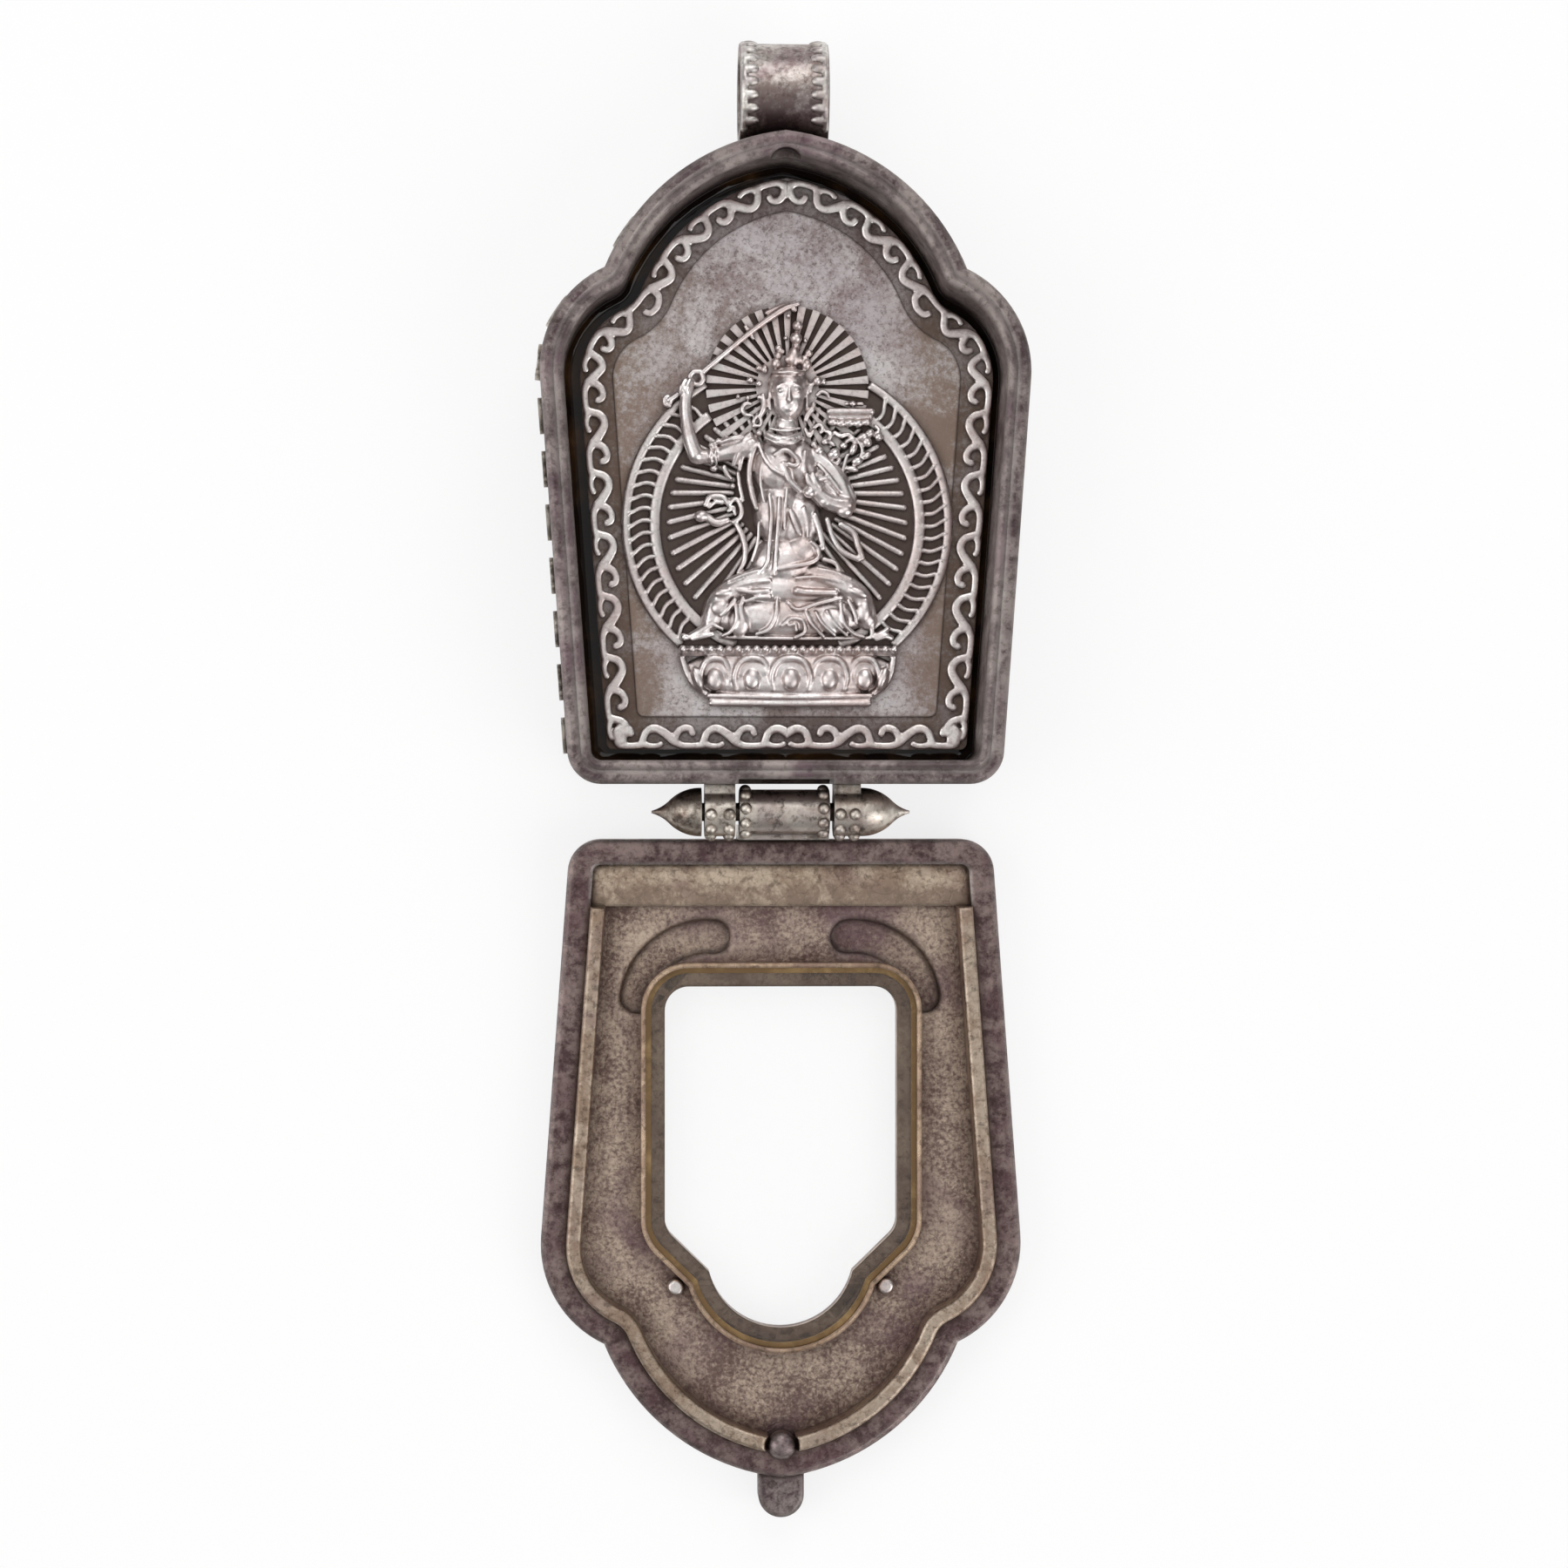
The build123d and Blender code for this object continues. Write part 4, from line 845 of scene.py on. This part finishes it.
        ((6.6, 15.6, 0.35, 0.24), (7.05, 14.2, 0.3, 0.25), (7.0, 12.4, 0.2, 0.22)),
        ((7.2, 12.2, 0.2, 0.26), (7.9, 12.5, 0.15, 0.3), (8.35, 12.85, 0.0, 0.22)),
        ((7.4, 12.0, 0.25, 0.22), (8.1, 12.25, 0.25, 0.26), (8.6, 12.1, 0.1, 0.26)),
        ((-5.6, 12.15, 0.3, 0.16), (0.0, 12.05, 0.5, 0.18), (6.8, 12.1, 0.25, 0.16)),
    ),
}
sword = {
    "voxel": 0.07,
    "smooth": 2,
    "base": 5.45,
    "masses": (
        (0.55, 39.3, 0.2, 0.26, 0.26, 0.26, 0),
        (0.1, 38.75, 0.2, 0.2, 0.22, 0.22, 0),
        (-0.6, 39.15, 0.2, 0.65, 0.3, 0.25, 38),
        (-3.1, 37.35, 0.25, 0.28, 0.42, 0.28, -50),
    ),
    "strokes": (
        (
            (-6.9, 34.2, 0.25, 0.26), (-3.1, 37.35, 0.3, 0.25), (-0.5, 39.2, 0.25, 0.28),
            (0.9, 39.75, 0.15, 0.16),
        ),
        ((-3.45, 37.85, 0.15, 0.2), (-2.85, 36.9, 0.2, 0.18)),
        ((-1.7, 39.0, 0.05, 0.2), (-0.5, 39.55, 0.05, 0.22), (0.6, 39.85, 0.05, 0.2)),
        (
            (-7.3, 34.1, 0.25, 0.24), (-7.85, 34.05, 0.25, 0.26), (-8.1, 33.6, 0.25, 0.24),
            (-7.85, 33.1, 0.25, 0.22), (-7.3, 33.05, 0.25, 0.22), (-6.98, 33.5, 0.25, 0.24),
            (-7.1, 34.0, 0.25, 0.24),
        ),
        ((-7.9, 33.3, 0.15, 0.3), (-9.0, 32.3, 0.15, 0.3), (-9.8, 31.75, 0.1, 0.3)),
        (
            (-9.65, 31.6, 0.1, 0.2), (-9.8, 32.0, 0.1, 0.2), (-10.15, 31.95, 0.1, 0.2),
            (-10.15, 31.4, 0.1, 0.2), (-9.75, 31.3, 0.1, 0.2),
        ),
    ),
}
bookAndLotus = {
    "voxel": 0.075,
    "smooth": 2,
    "base": 5.45,
    "masses": (
        (5.4, 31.5, 0.2, 0.34, 0.24, 0.3, 0),
        (3.75, 29.95, 0.35, 0.45, 0.32, 0.4, 0),
        (4.45, 29.85, 0.35, 0.45, 0.34, 0.4, 0),
        (5.15, 29.9, 0.35, 0.45, 0.34, 0.4, 0),
        (5.85, 29.85, 0.35, 0.45, 0.34, 0.4, 0),
        (6.55, 29.95, 0.35, 0.4, 0.32, 0.4, 0),
        (6.25, 28.75, 0.4, 0.5, 0.34, 0.45, 20),
        (6.8, 29.05, 0.3, 0.42, 0.36, 0.4, 40),
        (6.6, 28.3, 0.3, 0.42, 0.4, 0.4, -30),
        (7.55, 28.75, 0.1, 0.38, 0.36, 0.4, 0),
        (2.55, 27.55, 0.7, 0.44, 0.42, 0.5, 0),
        (3.8, 27.3, 0.75, 0.55, 0.44, 0.5, 30),
        (3.05, 28.3, 0.6, 0.34, 0.3, 0.4, 0),
        (5.4, 27.7, 0.45, 0.32, 0.55, 0.45, -25),
        (5.75, 26.75, 0.35, 0.5, 0.36, 0.42, 20),
        (6.5, 27.2, 0.25, 0.5, 0.27, 0.36, 35),
        (5.3, 26.1, 0.3, 0.62, 0.27, 0.4, -8),
        (2.15, 28.1, 0.6, 0.3, 0.3, 0.4, 0),
        (4.6, 28.0, 0.5, 0.36, 0.3, 0.4, 0),
    ),
    "strokes": (
        ((3.5, 30.85, 0.35, 0.3), (6.95, 30.85, 0.35, 0.3)),
        ((3.6, 30.4, 0.1, 0.3), (6.8, 30.4, 0.1, 0.3)),
        ((4.9, 31.5, 0.0, 0.18), (6.2, 31.5, 0.0, 0.18)),
        ((2.2, 29.5, 0.3, 0.16), (2.6, 29.75, 0.3, 0.17), (2.95, 29.45, 0.3, 0.17), (2.75, 29.1, 0.3, 0.16)),
        ((3.2, 29.2, 0.4, 0.17), (3.6, 28.95, 0.45, 0.2), (3.4, 28.4, 0.45, 0.2), (3.8, 28.05, 0.5, 0.18)),
        ((3.9, 29.1, 0.3, 0.18), (4.4, 28.8, 0.4, 0.22), (5.0, 28.95, 0.35, 0.2), (5.5, 28.6, 0.35, 0.18)),
        ((4.8, 28.3, 0.35, 0.16), (5.2, 28.5, 0.4, 0.2), (5.7, 28.3, 0.35, 0.16)),
        ((4.1, 25.75, 0.6, 0.26), (3.6, 25.5, 0.8, 0.28), (3.2, 25.3, 0.9, 0.2)),
        ((4.9, 27.2, 0.4, 0.17), (4.7, 26.5, 0.45, 0.17), (4.5, 25.8, 0.5, 0.2)),
        ((6.0, 28.2, 0.25, 0.16), (6.2, 27.6, 0.25, 0.18), (6.0, 27.1, 0.25, 0.16)),
        ((7.1, 28.9, 0.1, 0.18), (7.6, 29.3, 0.05, 0.18), (7.3, 29.7, 0.0, 0.15)),
        ((3.3, 26.7, 0.7, 0.2), (4.0, 26.5, 0.6, 0.22), (4.3, 26.9, 0.5, 0.18)),
    ),
}
throne = {
    "voxel": 0.085,
    "smooth": 2,
    "base": 5.19,
    "beadCount": 24,
    "beadPitch": 0.762,
    "beadRow": (0.1, 11.15, 0.68),  # the row's middle: across, along, level
    "beadHalf": (0.34, 0.34, 0.408),
    "beadBow": 0.045,
    "petals": ((-6.0, 1.2), (-2.95, 1.45), (0.25, 1.6), (3.45, 1.45), (6.4, 1.2)),  # middle and half width
    "petalLevel": 0.75,
    "petalBow": 0.07,
    "arch": (  # half widths aside, along, under the petal's level, radius
        (-0.9, 7.8, 0.4, 0.2),
        (-1.0, 9.0, 0.15, 0.25),
        (-0.66, 10.1, 0.05, 0.27),
        (0.0, 10.42, 0.0, 0.28),
        (0.66, 10.1, 0.05, 0.27),
        (1.0, 9.0, 0.15, 0.25),
        (0.9, 7.8, 0.4, 0.2),
    ),
    "boss": {"along": 8.65, "under": 0.15, "half": (0.7, 0.92, 0.48)},
    "masses": (
        (0.2, 9.6, -0.7, 8.8, 1.9, 1.35, 0),
        (0.2, 8.4, -0.7, 7.6, 1.6, 1.3, 0),
        (-7.45, 8.75, 0.1, 0.42, 1.0, 0.45, 18),
        (7.9, 8.75, 0.1, 0.42, 1.0, 0.45, -18),
    ),
    "strokes": (
        ((-8.7, 10.95, -0.1, 0.36), (0.2, 10.95, 0.35, 0.36), (8.9, 10.95, -0.1, 0.36)),
        ((-8.75, 10.5, -0.3, 0.3), (-8.3, 9.2, -0.3, 0.34), (-7.6, 8.1, -0.3, 0.34), (-6.6, 7.4, -0.3, 0.3)),
        ((8.85, 10.5, -0.3, 0.3), (8.6, 9.2, -0.3, 0.34), (8.0, 8.1, -0.3, 0.34), (7.0, 7.4, -0.3, 0.3)),
        ((-6.5, 7.3, -0.05, 0.25), (0.2, 7.2, 0.25, 0.26), (6.9, 7.3, -0.05, 0.25)),
        ((-6.3, 6.7, -0.05, 0.3), (0.2, 6.68, 0.1, 0.3), (6.75, 6.7, -0.05, 0.3)),
    ),
}


def makeFigure(plan):
    form = bmesh.new()
    for mass in massesOnRelief(plan["masses"], haloTop):
        addMass(form, mass)
    addStrokes(form, onRelief(plan["strokes"], haloTop))
    return form


castPiece("seated_figure", makeFigure(figure), figure, reliefSilver)
castPiece("sword", makeFigure(sword), sword, reliefSilver)
castPiece("book_and_lotus", makeFigure(bookAndLotus), bookAndLotus, reliefSilver)


# Lotus throne: petals as arches over bosses, a bead row on top
def makeThrone(plan):
    strokes = list(plan["strokes"])
    masses = list(plan["masses"])
    boss = plan["boss"]
    for middle, half in plan["petals"]:
        level = plan["petalLevel"] - abs(middle) * plan["petalBow"]  # the front bows: outer petals lie lower
        arch = []
        for aside, along, under, radius in plan["arch"]:
            arch.append((middle + half * aside, along, level - under, radius))
        strokes.append(arch)
        masses.append((middle, boss["along"], level - boss["under"], *boss["half"], 0))
    rowMiddle, along, rowLevel = plan["beadRow"]
    for bead in range(plan["beadCount"]):
        across = rowMiddle + (bead - (plan["beadCount"] - 1) / 2) * plan["beadPitch"]
        masses.append((across, along, rowLevel - abs(across) * plan["beadBow"], *plan["beadHalf"], 0))
    return makeFigure({"masses": masses, "strokes": strokes})


castPiece("lotus_throne", makeThrone(throne), throne, reliefSilver)

# Running scroll: one unit's strokes as (units along, mm in from the edge, radius), drawn down from the joint
border = {
    "voxel": 0.08,
    "smooth": 3,
    "base": 4.99,
    "ceiling": (5.16, 5.66),
    "level": 5.42,
    "steps": 8,
    "inset": 2.85,
    "units": 13.9,
    "joint": 0.807,
    "stem": (
        (-0.04, 0.68, 0.42),
        (0.09, 0.36, 0.32),
        (0.28, 0.32, 0.3),
        (0.41, 0.38, 0.32),
        (0.47, 0.46, 0.33),
        (0.57, 0.32, 0.27),
        (0.68, 0.32, 0.25),
        (0.75, 0.45, 0.28),
    ),
    "wave": (
        (0.43, 0.5, 0.33),
        (0.465, 0.95, 0.36),
        (0.5, 1.38, 0.37),
        (0.58, 1.7, 0.38),
        (0.69, 1.72, 0.4),
        (0.83, 1.3, 0.43),
        (0.96, 0.74, 0.45),
    ),
    "hook": (
        (-0.04, 0.72, 0.42),
        (-0.01, 1.12, 0.38),
        (0.05, 1.58, 0.35),
        (0.15, 1.8, 0.34),
        (0.24, 1.68, 0.33),
        (0.27, 1.34, 0.32),
    ),
}
boxOutline = {
    "foot": (17.6, 0.0),
    "shoulder": (20.0, 33.0),
    "shoulderRadius": 9.2,
    "crownRadius": 18.2,
    "crownShift": 2.1,
    "length": 53.2,
    "corner": 0.6,
    "arcSteps": 40,
}


# Right half of the box outline moved in by inset, from the hinge edge's middle to the tip, its arcs in steps
def halfOutline(plan, inset):
    foot = Vector(plan["foot"])
    shoulder = Vector(plan["shoulder"])
    run = (shoulder - foot).normalized()
    inward = Vector((-run.y, run.x))
    shoulderMiddle = shoulder + inward * plan["shoulderRadius"]
    shift = plan["crownShift"]
    crownMiddle = Vector((-shift, plan["length"] - math.sqrt(plan["crownRadius"] ** 2 - shift**2)))
    apart = shoulderMiddle - crownMiddle
    along = (plan["crownRadius"] ** 2 - plan["shoulderRadius"] ** 2 + apart.length**2) / (2 * apart.length)
    across = math.sqrt(plan["crownRadius"] ** 2 - along**2)
    way = apart.normalized()
    cusp = crownMiddle + way * along + Vector((-way.y, way.x)) * across
    start = foot + inward * inset
    corner = start + run * ((inset - start.y) / run.y)
    line = [
        Vector((0, inset)),
        corner + Vector((-plan["corner"], 0)),
        corner + run * plan["corner"],
        shoulder + inward * inset,
    ]

    def addArc(middle, begin, end, radius):
        first = math.atan2(begin.y - middle.y, begin.x - middle.x)
        last = math.atan2(end.y - middle.y, end.x - middle.x)
        turn = (last - first + math.pi) % (2 * math.pi) - math.pi
        for step in range(1, plan["arcSteps"] + 1):
            angle = first + turn * step / plan["arcSteps"]
            line.append(middle + Vector((math.cos(angle), math.sin(angle))) * radius)

    shoulderStop = shoulderMiddle + (cusp - shoulderMiddle).normalized() * (plan["shoulderRadius"] - inset)
    crownStart = crownMiddle + (cusp - crownMiddle).normalized() * (plan["crownRadius"] - inset)
    tip = Vector((0, crownMiddle.y + math.sqrt((plan["crownRadius"] - inset) ** 2 - shift**2)))
    addArc(shoulderMiddle, line[-1], shoulderStop, plan["shoulderRadius"] - inset)
    addArc(cusp, shoulderStop, crownStart, inset)
    addArc(crownMiddle, crownStart, tip, plan["crownRadius"] - inset)
    return line


# Place so far along a line, and the direction to the inside there
def spotOnLine(line, distance):
    for start, end in zip(line, line[1:]):
        length = (end - start).length
        if distance <= length or end is line[-1]:
            way = (end - start).normalized()
            return start + way * distance, Vector((-way.y, way.x))
        distance -= length


def makeBorder(plan, side):
    line = halfOutline(boxOutline, plan["inset"])
    total = sum((end - start).length for start, end in zip(line, line[1:]))
    pitch = total / plan["units"]
    strokes = []
    for unit in range(int(plan["units"]) + 2):
        for stroke in (plan["stem"], plan["wave"], plan["hook"]):
            row = []
            for along, depth, radius in stroke:
                distance = (unit + plan["joint"] - along) * pitch
                beyond = side if 0 <= distance <= total else -side  # past the middle, on the other half
                spot, inward = spotOnLine(line, min(abs(distance), 2 * total - abs(distance)))
                spot = spot + inward * depth
                row.append((plaqueMiddle + beyond * spot.x, spot.y + hingeEdge, plan["level"], radius))
            strokes.append(row)
    form = bmesh.new()
    addStrokes(form, strokes, plan["steps"])
    return form


castPiece("scroll_border_right", makeBorder(border, 1), border, scrollSilver, 1)
castPiece("scroll_border_left", makeBorder(border, -1), border, scrollSilver, -1)

# Aureole: two rails with curved bars between them, and fine rays on a dark floor
aureole = {
    "middle": 21.6,
    "radius": 13.75,
    "flat": 11.5,
    "floor": (5.19, 5.42),
    "segments": 192,
    "rails": ((13.36, 0.76, 59.5, -49.0), (11.0, 0.95, 54.0, -67.0)),  # radius, width, end turns in degrees
    "railTop": 5.88,
    "railEdge": (0.14, 0.16),
    "railSteps": 80,
    "bars": 72,
    "barless": ((53, 127), (228, 312)),  # behind the head and under the throne, in degrees
    "bar": (  # distance from the middle, turn in degrees, radius
        (13.2, 1.7, 0.24),
        (12.85, 0.9, 0.21),
        (12.4, -0.4, 0.2),
        (11.95, -1.1, 0.21),
        (11.3, -1.0, 0.24),
    ),
    "barLevel": 5.66,
    "rayMiddle": 24.1,
    "rayStart": 4.6,
    "rayEnd": 9.8,
    "rayFoot": 12.0,
    "rayLeast": 0.4,
    "rays": 52,
    "rayRadius": 0.27,
    "rayLevel": 5.6,
    "flatFace": 2e-7,  # faces larger than this, in square metres, stay flat
}


def makeAureole(plan):
    middle = Vector((plaqueMiddle, plan["middle"] + hingeEdge, 0))
    form = bmesh.new()
    low, high = plan["floor"]
    base = Matrix.Translation((middle + Vector((0, 0, low))) * mm)
    disc = {"segments": plan["segments"], "radius": plan["radius"] * mm}
    bmesh.ops.create_circle(form, cap_ends=True, matrix=base, **disc)
    raised = bmesh.ops.extrude_face_region(form, geom=form.faces[:])
    lifted = [part for part in raised["geom"] if isinstance(part, bmesh.types.BMVert)]
    bmesh.ops.translate(form, vec=(0, 0, (high - low) * mm), verts=lifted)
    cutFlat(form, Vector((0, plan["flat"] + hingeEdge, 0)) * mm, (0, -1, 0))
    top = plan["railTop"]
    inEdge, downEdge = plan["railEdge"]
    for radius, width, upper, lower in plan["rails"]:
        half = width / 2
        corners = (
            (-half, low),
            (half, low),
            (half, top - downEdge),
            (half - inEdge, top),
            (inEdge - half, top),
            (-half, top - downEdge),
        )
        for side in (1, -1):
            angle = math.radians(lower if side > 0 else 180 - lower)
            turn = math.radians((upper - lower) * side)
            way = Vector((math.cos(angle), math.sin(angle), 0))
            spots = [middle + way * (radius + out) + Vector((0, 0, level)) for out, level in corners]
            face = form.faces.new([form.verts.new(spot * mm) for spot in spots])
            bmesh.ops.spin(
                form,
                geom=[face] + face.edges[:] + face.verts[:],
                cent=middle * mm,
                axis=(0, 0, 1),
                angle=turn,
                steps=plan["railSteps"],
                use_duplicate=False,
            )
    strokes = []
    for bar in range(plan["bars"]):
        angle = 360 * bar / plan["bars"]
        if any(start < angle < end for start, end in plan["barless"]):
            continue
        row = []
        for radius, turn, thickness in plan["bar"]:
            way = math.radians(angle + turn)
            spot = middle + Vector((math.cos(way), math.sin(way), 0)) * radius
            row.append((spot.x, spot.y, plan["barLevel"], thickness))
        strokes.append(row)
    source = Vector((plaqueMiddle, plan["rayMiddle"] + hingeEdge))
    lift = plan["rayMiddle"] - plan["middle"]
    for ray in range(plan["rays"]):
        way = 2 * math.pi * ray / plan["rays"]
        run = Vector((math.cos(way), math.sin(way)))
        reach = -lift * run.y + math.sqrt(plan["rayEnd"] ** 2 - (lift * run.x) ** 2)
        if reach < plan["rayStart"] + plan["rayLeast"] or plan["rayMiddle"] + reach * run.y < plan["rayFoot"]:
            continue
        spots = [source + run * out for out in (plan["rayStart"], (plan["rayStart"] + reach) / 2, reach)]
        strokes.append([(spot.x, spot.y, plan["rayLevel"], plan["rayRadius"]) for spot in spots])
    addStrokes(form, strokes, 4)
    bmesh.ops.recalc_face_normals(form, faces=form.faces[:])
    piece = evaluated(form, "aureole")
    for face in piece.data.polygons:
        face.use_smooth = face.area < plan["flatFace"]
    piece.data.materials.append(haloSilver)
    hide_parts("aureole")
    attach(piece, "case")
    print("aureole with", len(strokes), "bars and rays")


makeAureole(aureole)

# Resin bed, its surface creeping up the wall: rings as (inset from the outline, height over the back)
resin = {"rings": ((1.95, 1.0), (1.95, 5.25), (2.0, 5.02), (2.1, 4.82), (2.3, 4.64), (2.6, 4.55))}


def makeResin(plan):
    form = bmesh.new()
    loops = []
    for inset, level in plan["rings"]:
        half = halfOutline(boxOutline, inset)
        ring = half[1:] + [Vector((-spot.x, spot.y)) for spot in reversed(half[1:-1])]
        verts = [form.verts.new((spot.x * mm, (spot.y + hingeEdge) * mm, level * mm)) for spot in ring]
        loops.append([form.edges.new((verts[at - 1], verts[at])) for at in range(len(verts))])
    for lower, upper in zip(loops, loops[1:]):
        bmesh.ops.bridge_loops(form, edges=lower + upper)
    bmesh.ops.holes_fill(form, edges=loops[0] + loops[-1], sides=0)
    bmesh.ops.recalc_face_normals(form, faces=form.faces[:])
    for face in form.faces:
        face.smooth = len(face.verts) == 4
    piece = evaluated(form, "bedding_resin")
    piece.data.materials.append(bedResin)
    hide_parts("bedding_resin")
    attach(piece, "case")
    print("resin in", len(piece.data.polygons), "faces")


makeResin(resin)

# Worn lobes along both edges of the hanging loop
lobes = {
    "middle": (30.3, 6.25),
    "radius": 4.12,
    "count": 24,
    "edge": 2.85,
    "half": (0.78, 0.4, 0.46),
    "lipEdge": 3.3,
    "lipRadius": 0.34,
    "lipSteps": 30,
    "wall": 27.2,
}


def makeLobes(plan):
    form = bmesh.new()

    # Place on the loop's round, so far aside and turned from its outermost line
    def onLoop(across, turn):
        along, level = plan["middle"]
        radius = plan["radius"]
        return Vector((across, along + radius * math.cos(turn), level + radius * math.sin(turn)))

    size = Matrix.Diagonal((*(half * mm for half in plan["half"]), 1.0))
    for lobe in range(plan["count"]):
        turn = 2 * math.pi * (lobe + 0.5) / plan["count"]
        for side in (1, -1):
            place = onLoop(side * plan["edge"], turn)
            if place.y < plan["wall"]:
                continue
            shape = Matrix.Translation(place * mm) @ Matrix.Rotation(turn, 4, "X") @ size
            bmesh.ops.create_icosphere(form, subdivisions=3, radius=1.0, matrix=shape)
    last = math.acos((plan["wall"] - plan["middle"][0]) / plan["radius"])
    turns = [last * step / plan["lipSteps"] for step in range(-plan["lipSteps"], plan["lipSteps"] + 1)]
    for side in (1, -1):
        addStrokes(form, [[(*onLoop(side * plan["lipEdge"], turn), plan["lipRadius"]) for turn in turns]], 1)
    for face in form.faces:
        face.smooth = True
    piece = evaluated(form, "bail_beads")
    piece.data.materials.append(lobeSilver)
    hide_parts("bail_beads")
    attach(piece, "case")
    print("loop lobes in", len(piece.data.polygons), "faces")


makeLobes(lobes)

# Pale table and plain soft light
studio = {
    "tableSize": 1.6,
    "tableDrop": 0.00005,
    "tableColour": (0.98, 0.98, 0.98),
    "tableWhite": 0.8,
    "skyShade": 0.26,
    "lamps": (
        ("topLamp", (-0.05, 0.05, 0.9), 0.7, 0.95),
        ("rightLamp", (0.5, -0.4, 0.5), 0.6, 2.5),
        ("leftLamp", (-0.55, -0.05, 0.5), 0.6, 2.1),
        ("farLamp", (0.1, 0.55, 0.5), 0.6, 2.1),
    ),
    "lampAim": (0.0, -0.027, 0.0),
}


def setStudio(plan):
    mesh = bmesh.new()
    bmesh.ops.create_grid(mesh, x_segments=1, y_segments=1, size=plan["tableSize"] / 2)
    data = bpy.data.meshes.new("table")
    mesh.to_mesh(data)
    mesh.free()
    table = bpy.data.objects.new("table", data)
    table.location.z = -plan["tableDrop"]
    bpy.context.scene.collection.objects.link(table)
    paper = blankMaterial("tablePaper")
    tree = paper.node_tree
    path = addNode(tree, "ShaderNodeLightPath").outputs
    mirrored = sums(tree, "MAXIMUM", path["Is Glossy Ray"], path["Is Transmission Ray"])
    seen = sums(tree, "MAXIMUM", path["Is Camera Ray"], mirrored)
    matte = addNode(tree, "ShaderNodeBsdfDiffuse", {"Color": tint(plan["tableColour"])})
    glow = addNode(tree, "ShaderNodeEmission", {"Color": (1, 1, 1, 1), "Strength": 1.0})
    share = sums(tree, "MULTIPLY", seen, plan["tableWhite"])
    mixed = addNode(tree, "ShaderNodeMixShader", {0: share, 1: matte.outputs[0], 2: glow.outputs[0]})
    addNode(tree, "ShaderNodeOutputMaterial", {"Surface": mixed.outputs[0]})
    data.materials.append(paper)

    world = bpy.data.worlds.new("studio")
    world.use_nodes = True
    tree = world.node_tree
    tree.nodes.clear()
    path = addNode(tree, "ShaderNodeLightPath").outputs
    dim = addNode(tree, "ShaderNodeBackground", {"Color": (1, 1, 1, 1), "Strength": plan["skyShade"]})
    white = addNode(tree, "ShaderNodeBackground", {"Color": (1, 1, 1, 1), "Strength": 1.0})
    shades = {0: path["Is Camera Ray"], 1: dim.outputs[0], 2: white.outputs[0]}
    mixed = addNode(tree, "ShaderNodeMixShader", shades)
    addNode(tree, "ShaderNodeOutputWorld", {"Surface": mixed.outputs[0]})
    bpy.context.scene.world = world

    for name, place, size, power in plan["lamps"]:
        light = bpy.data.lights.new(name, "AREA")
        light.shape = "SQUARE"
        light.size = size
        light.energy = power
        lamp = bpy.data.objects.new(name, light)
        lamp.location = place
        lamp.rotation_euler = (Vector(plan["lampAim"]) - Vector(place)).to_track_quat("-Z", "Y").to_euler()
        bpy.context.scene.collection.objects.link(lamp)


setStudio(studio)
bpy.context.scene.view_settings.view_transform = "Standard"
print("studio: table and", len(studio["lamps"]), "lamps")
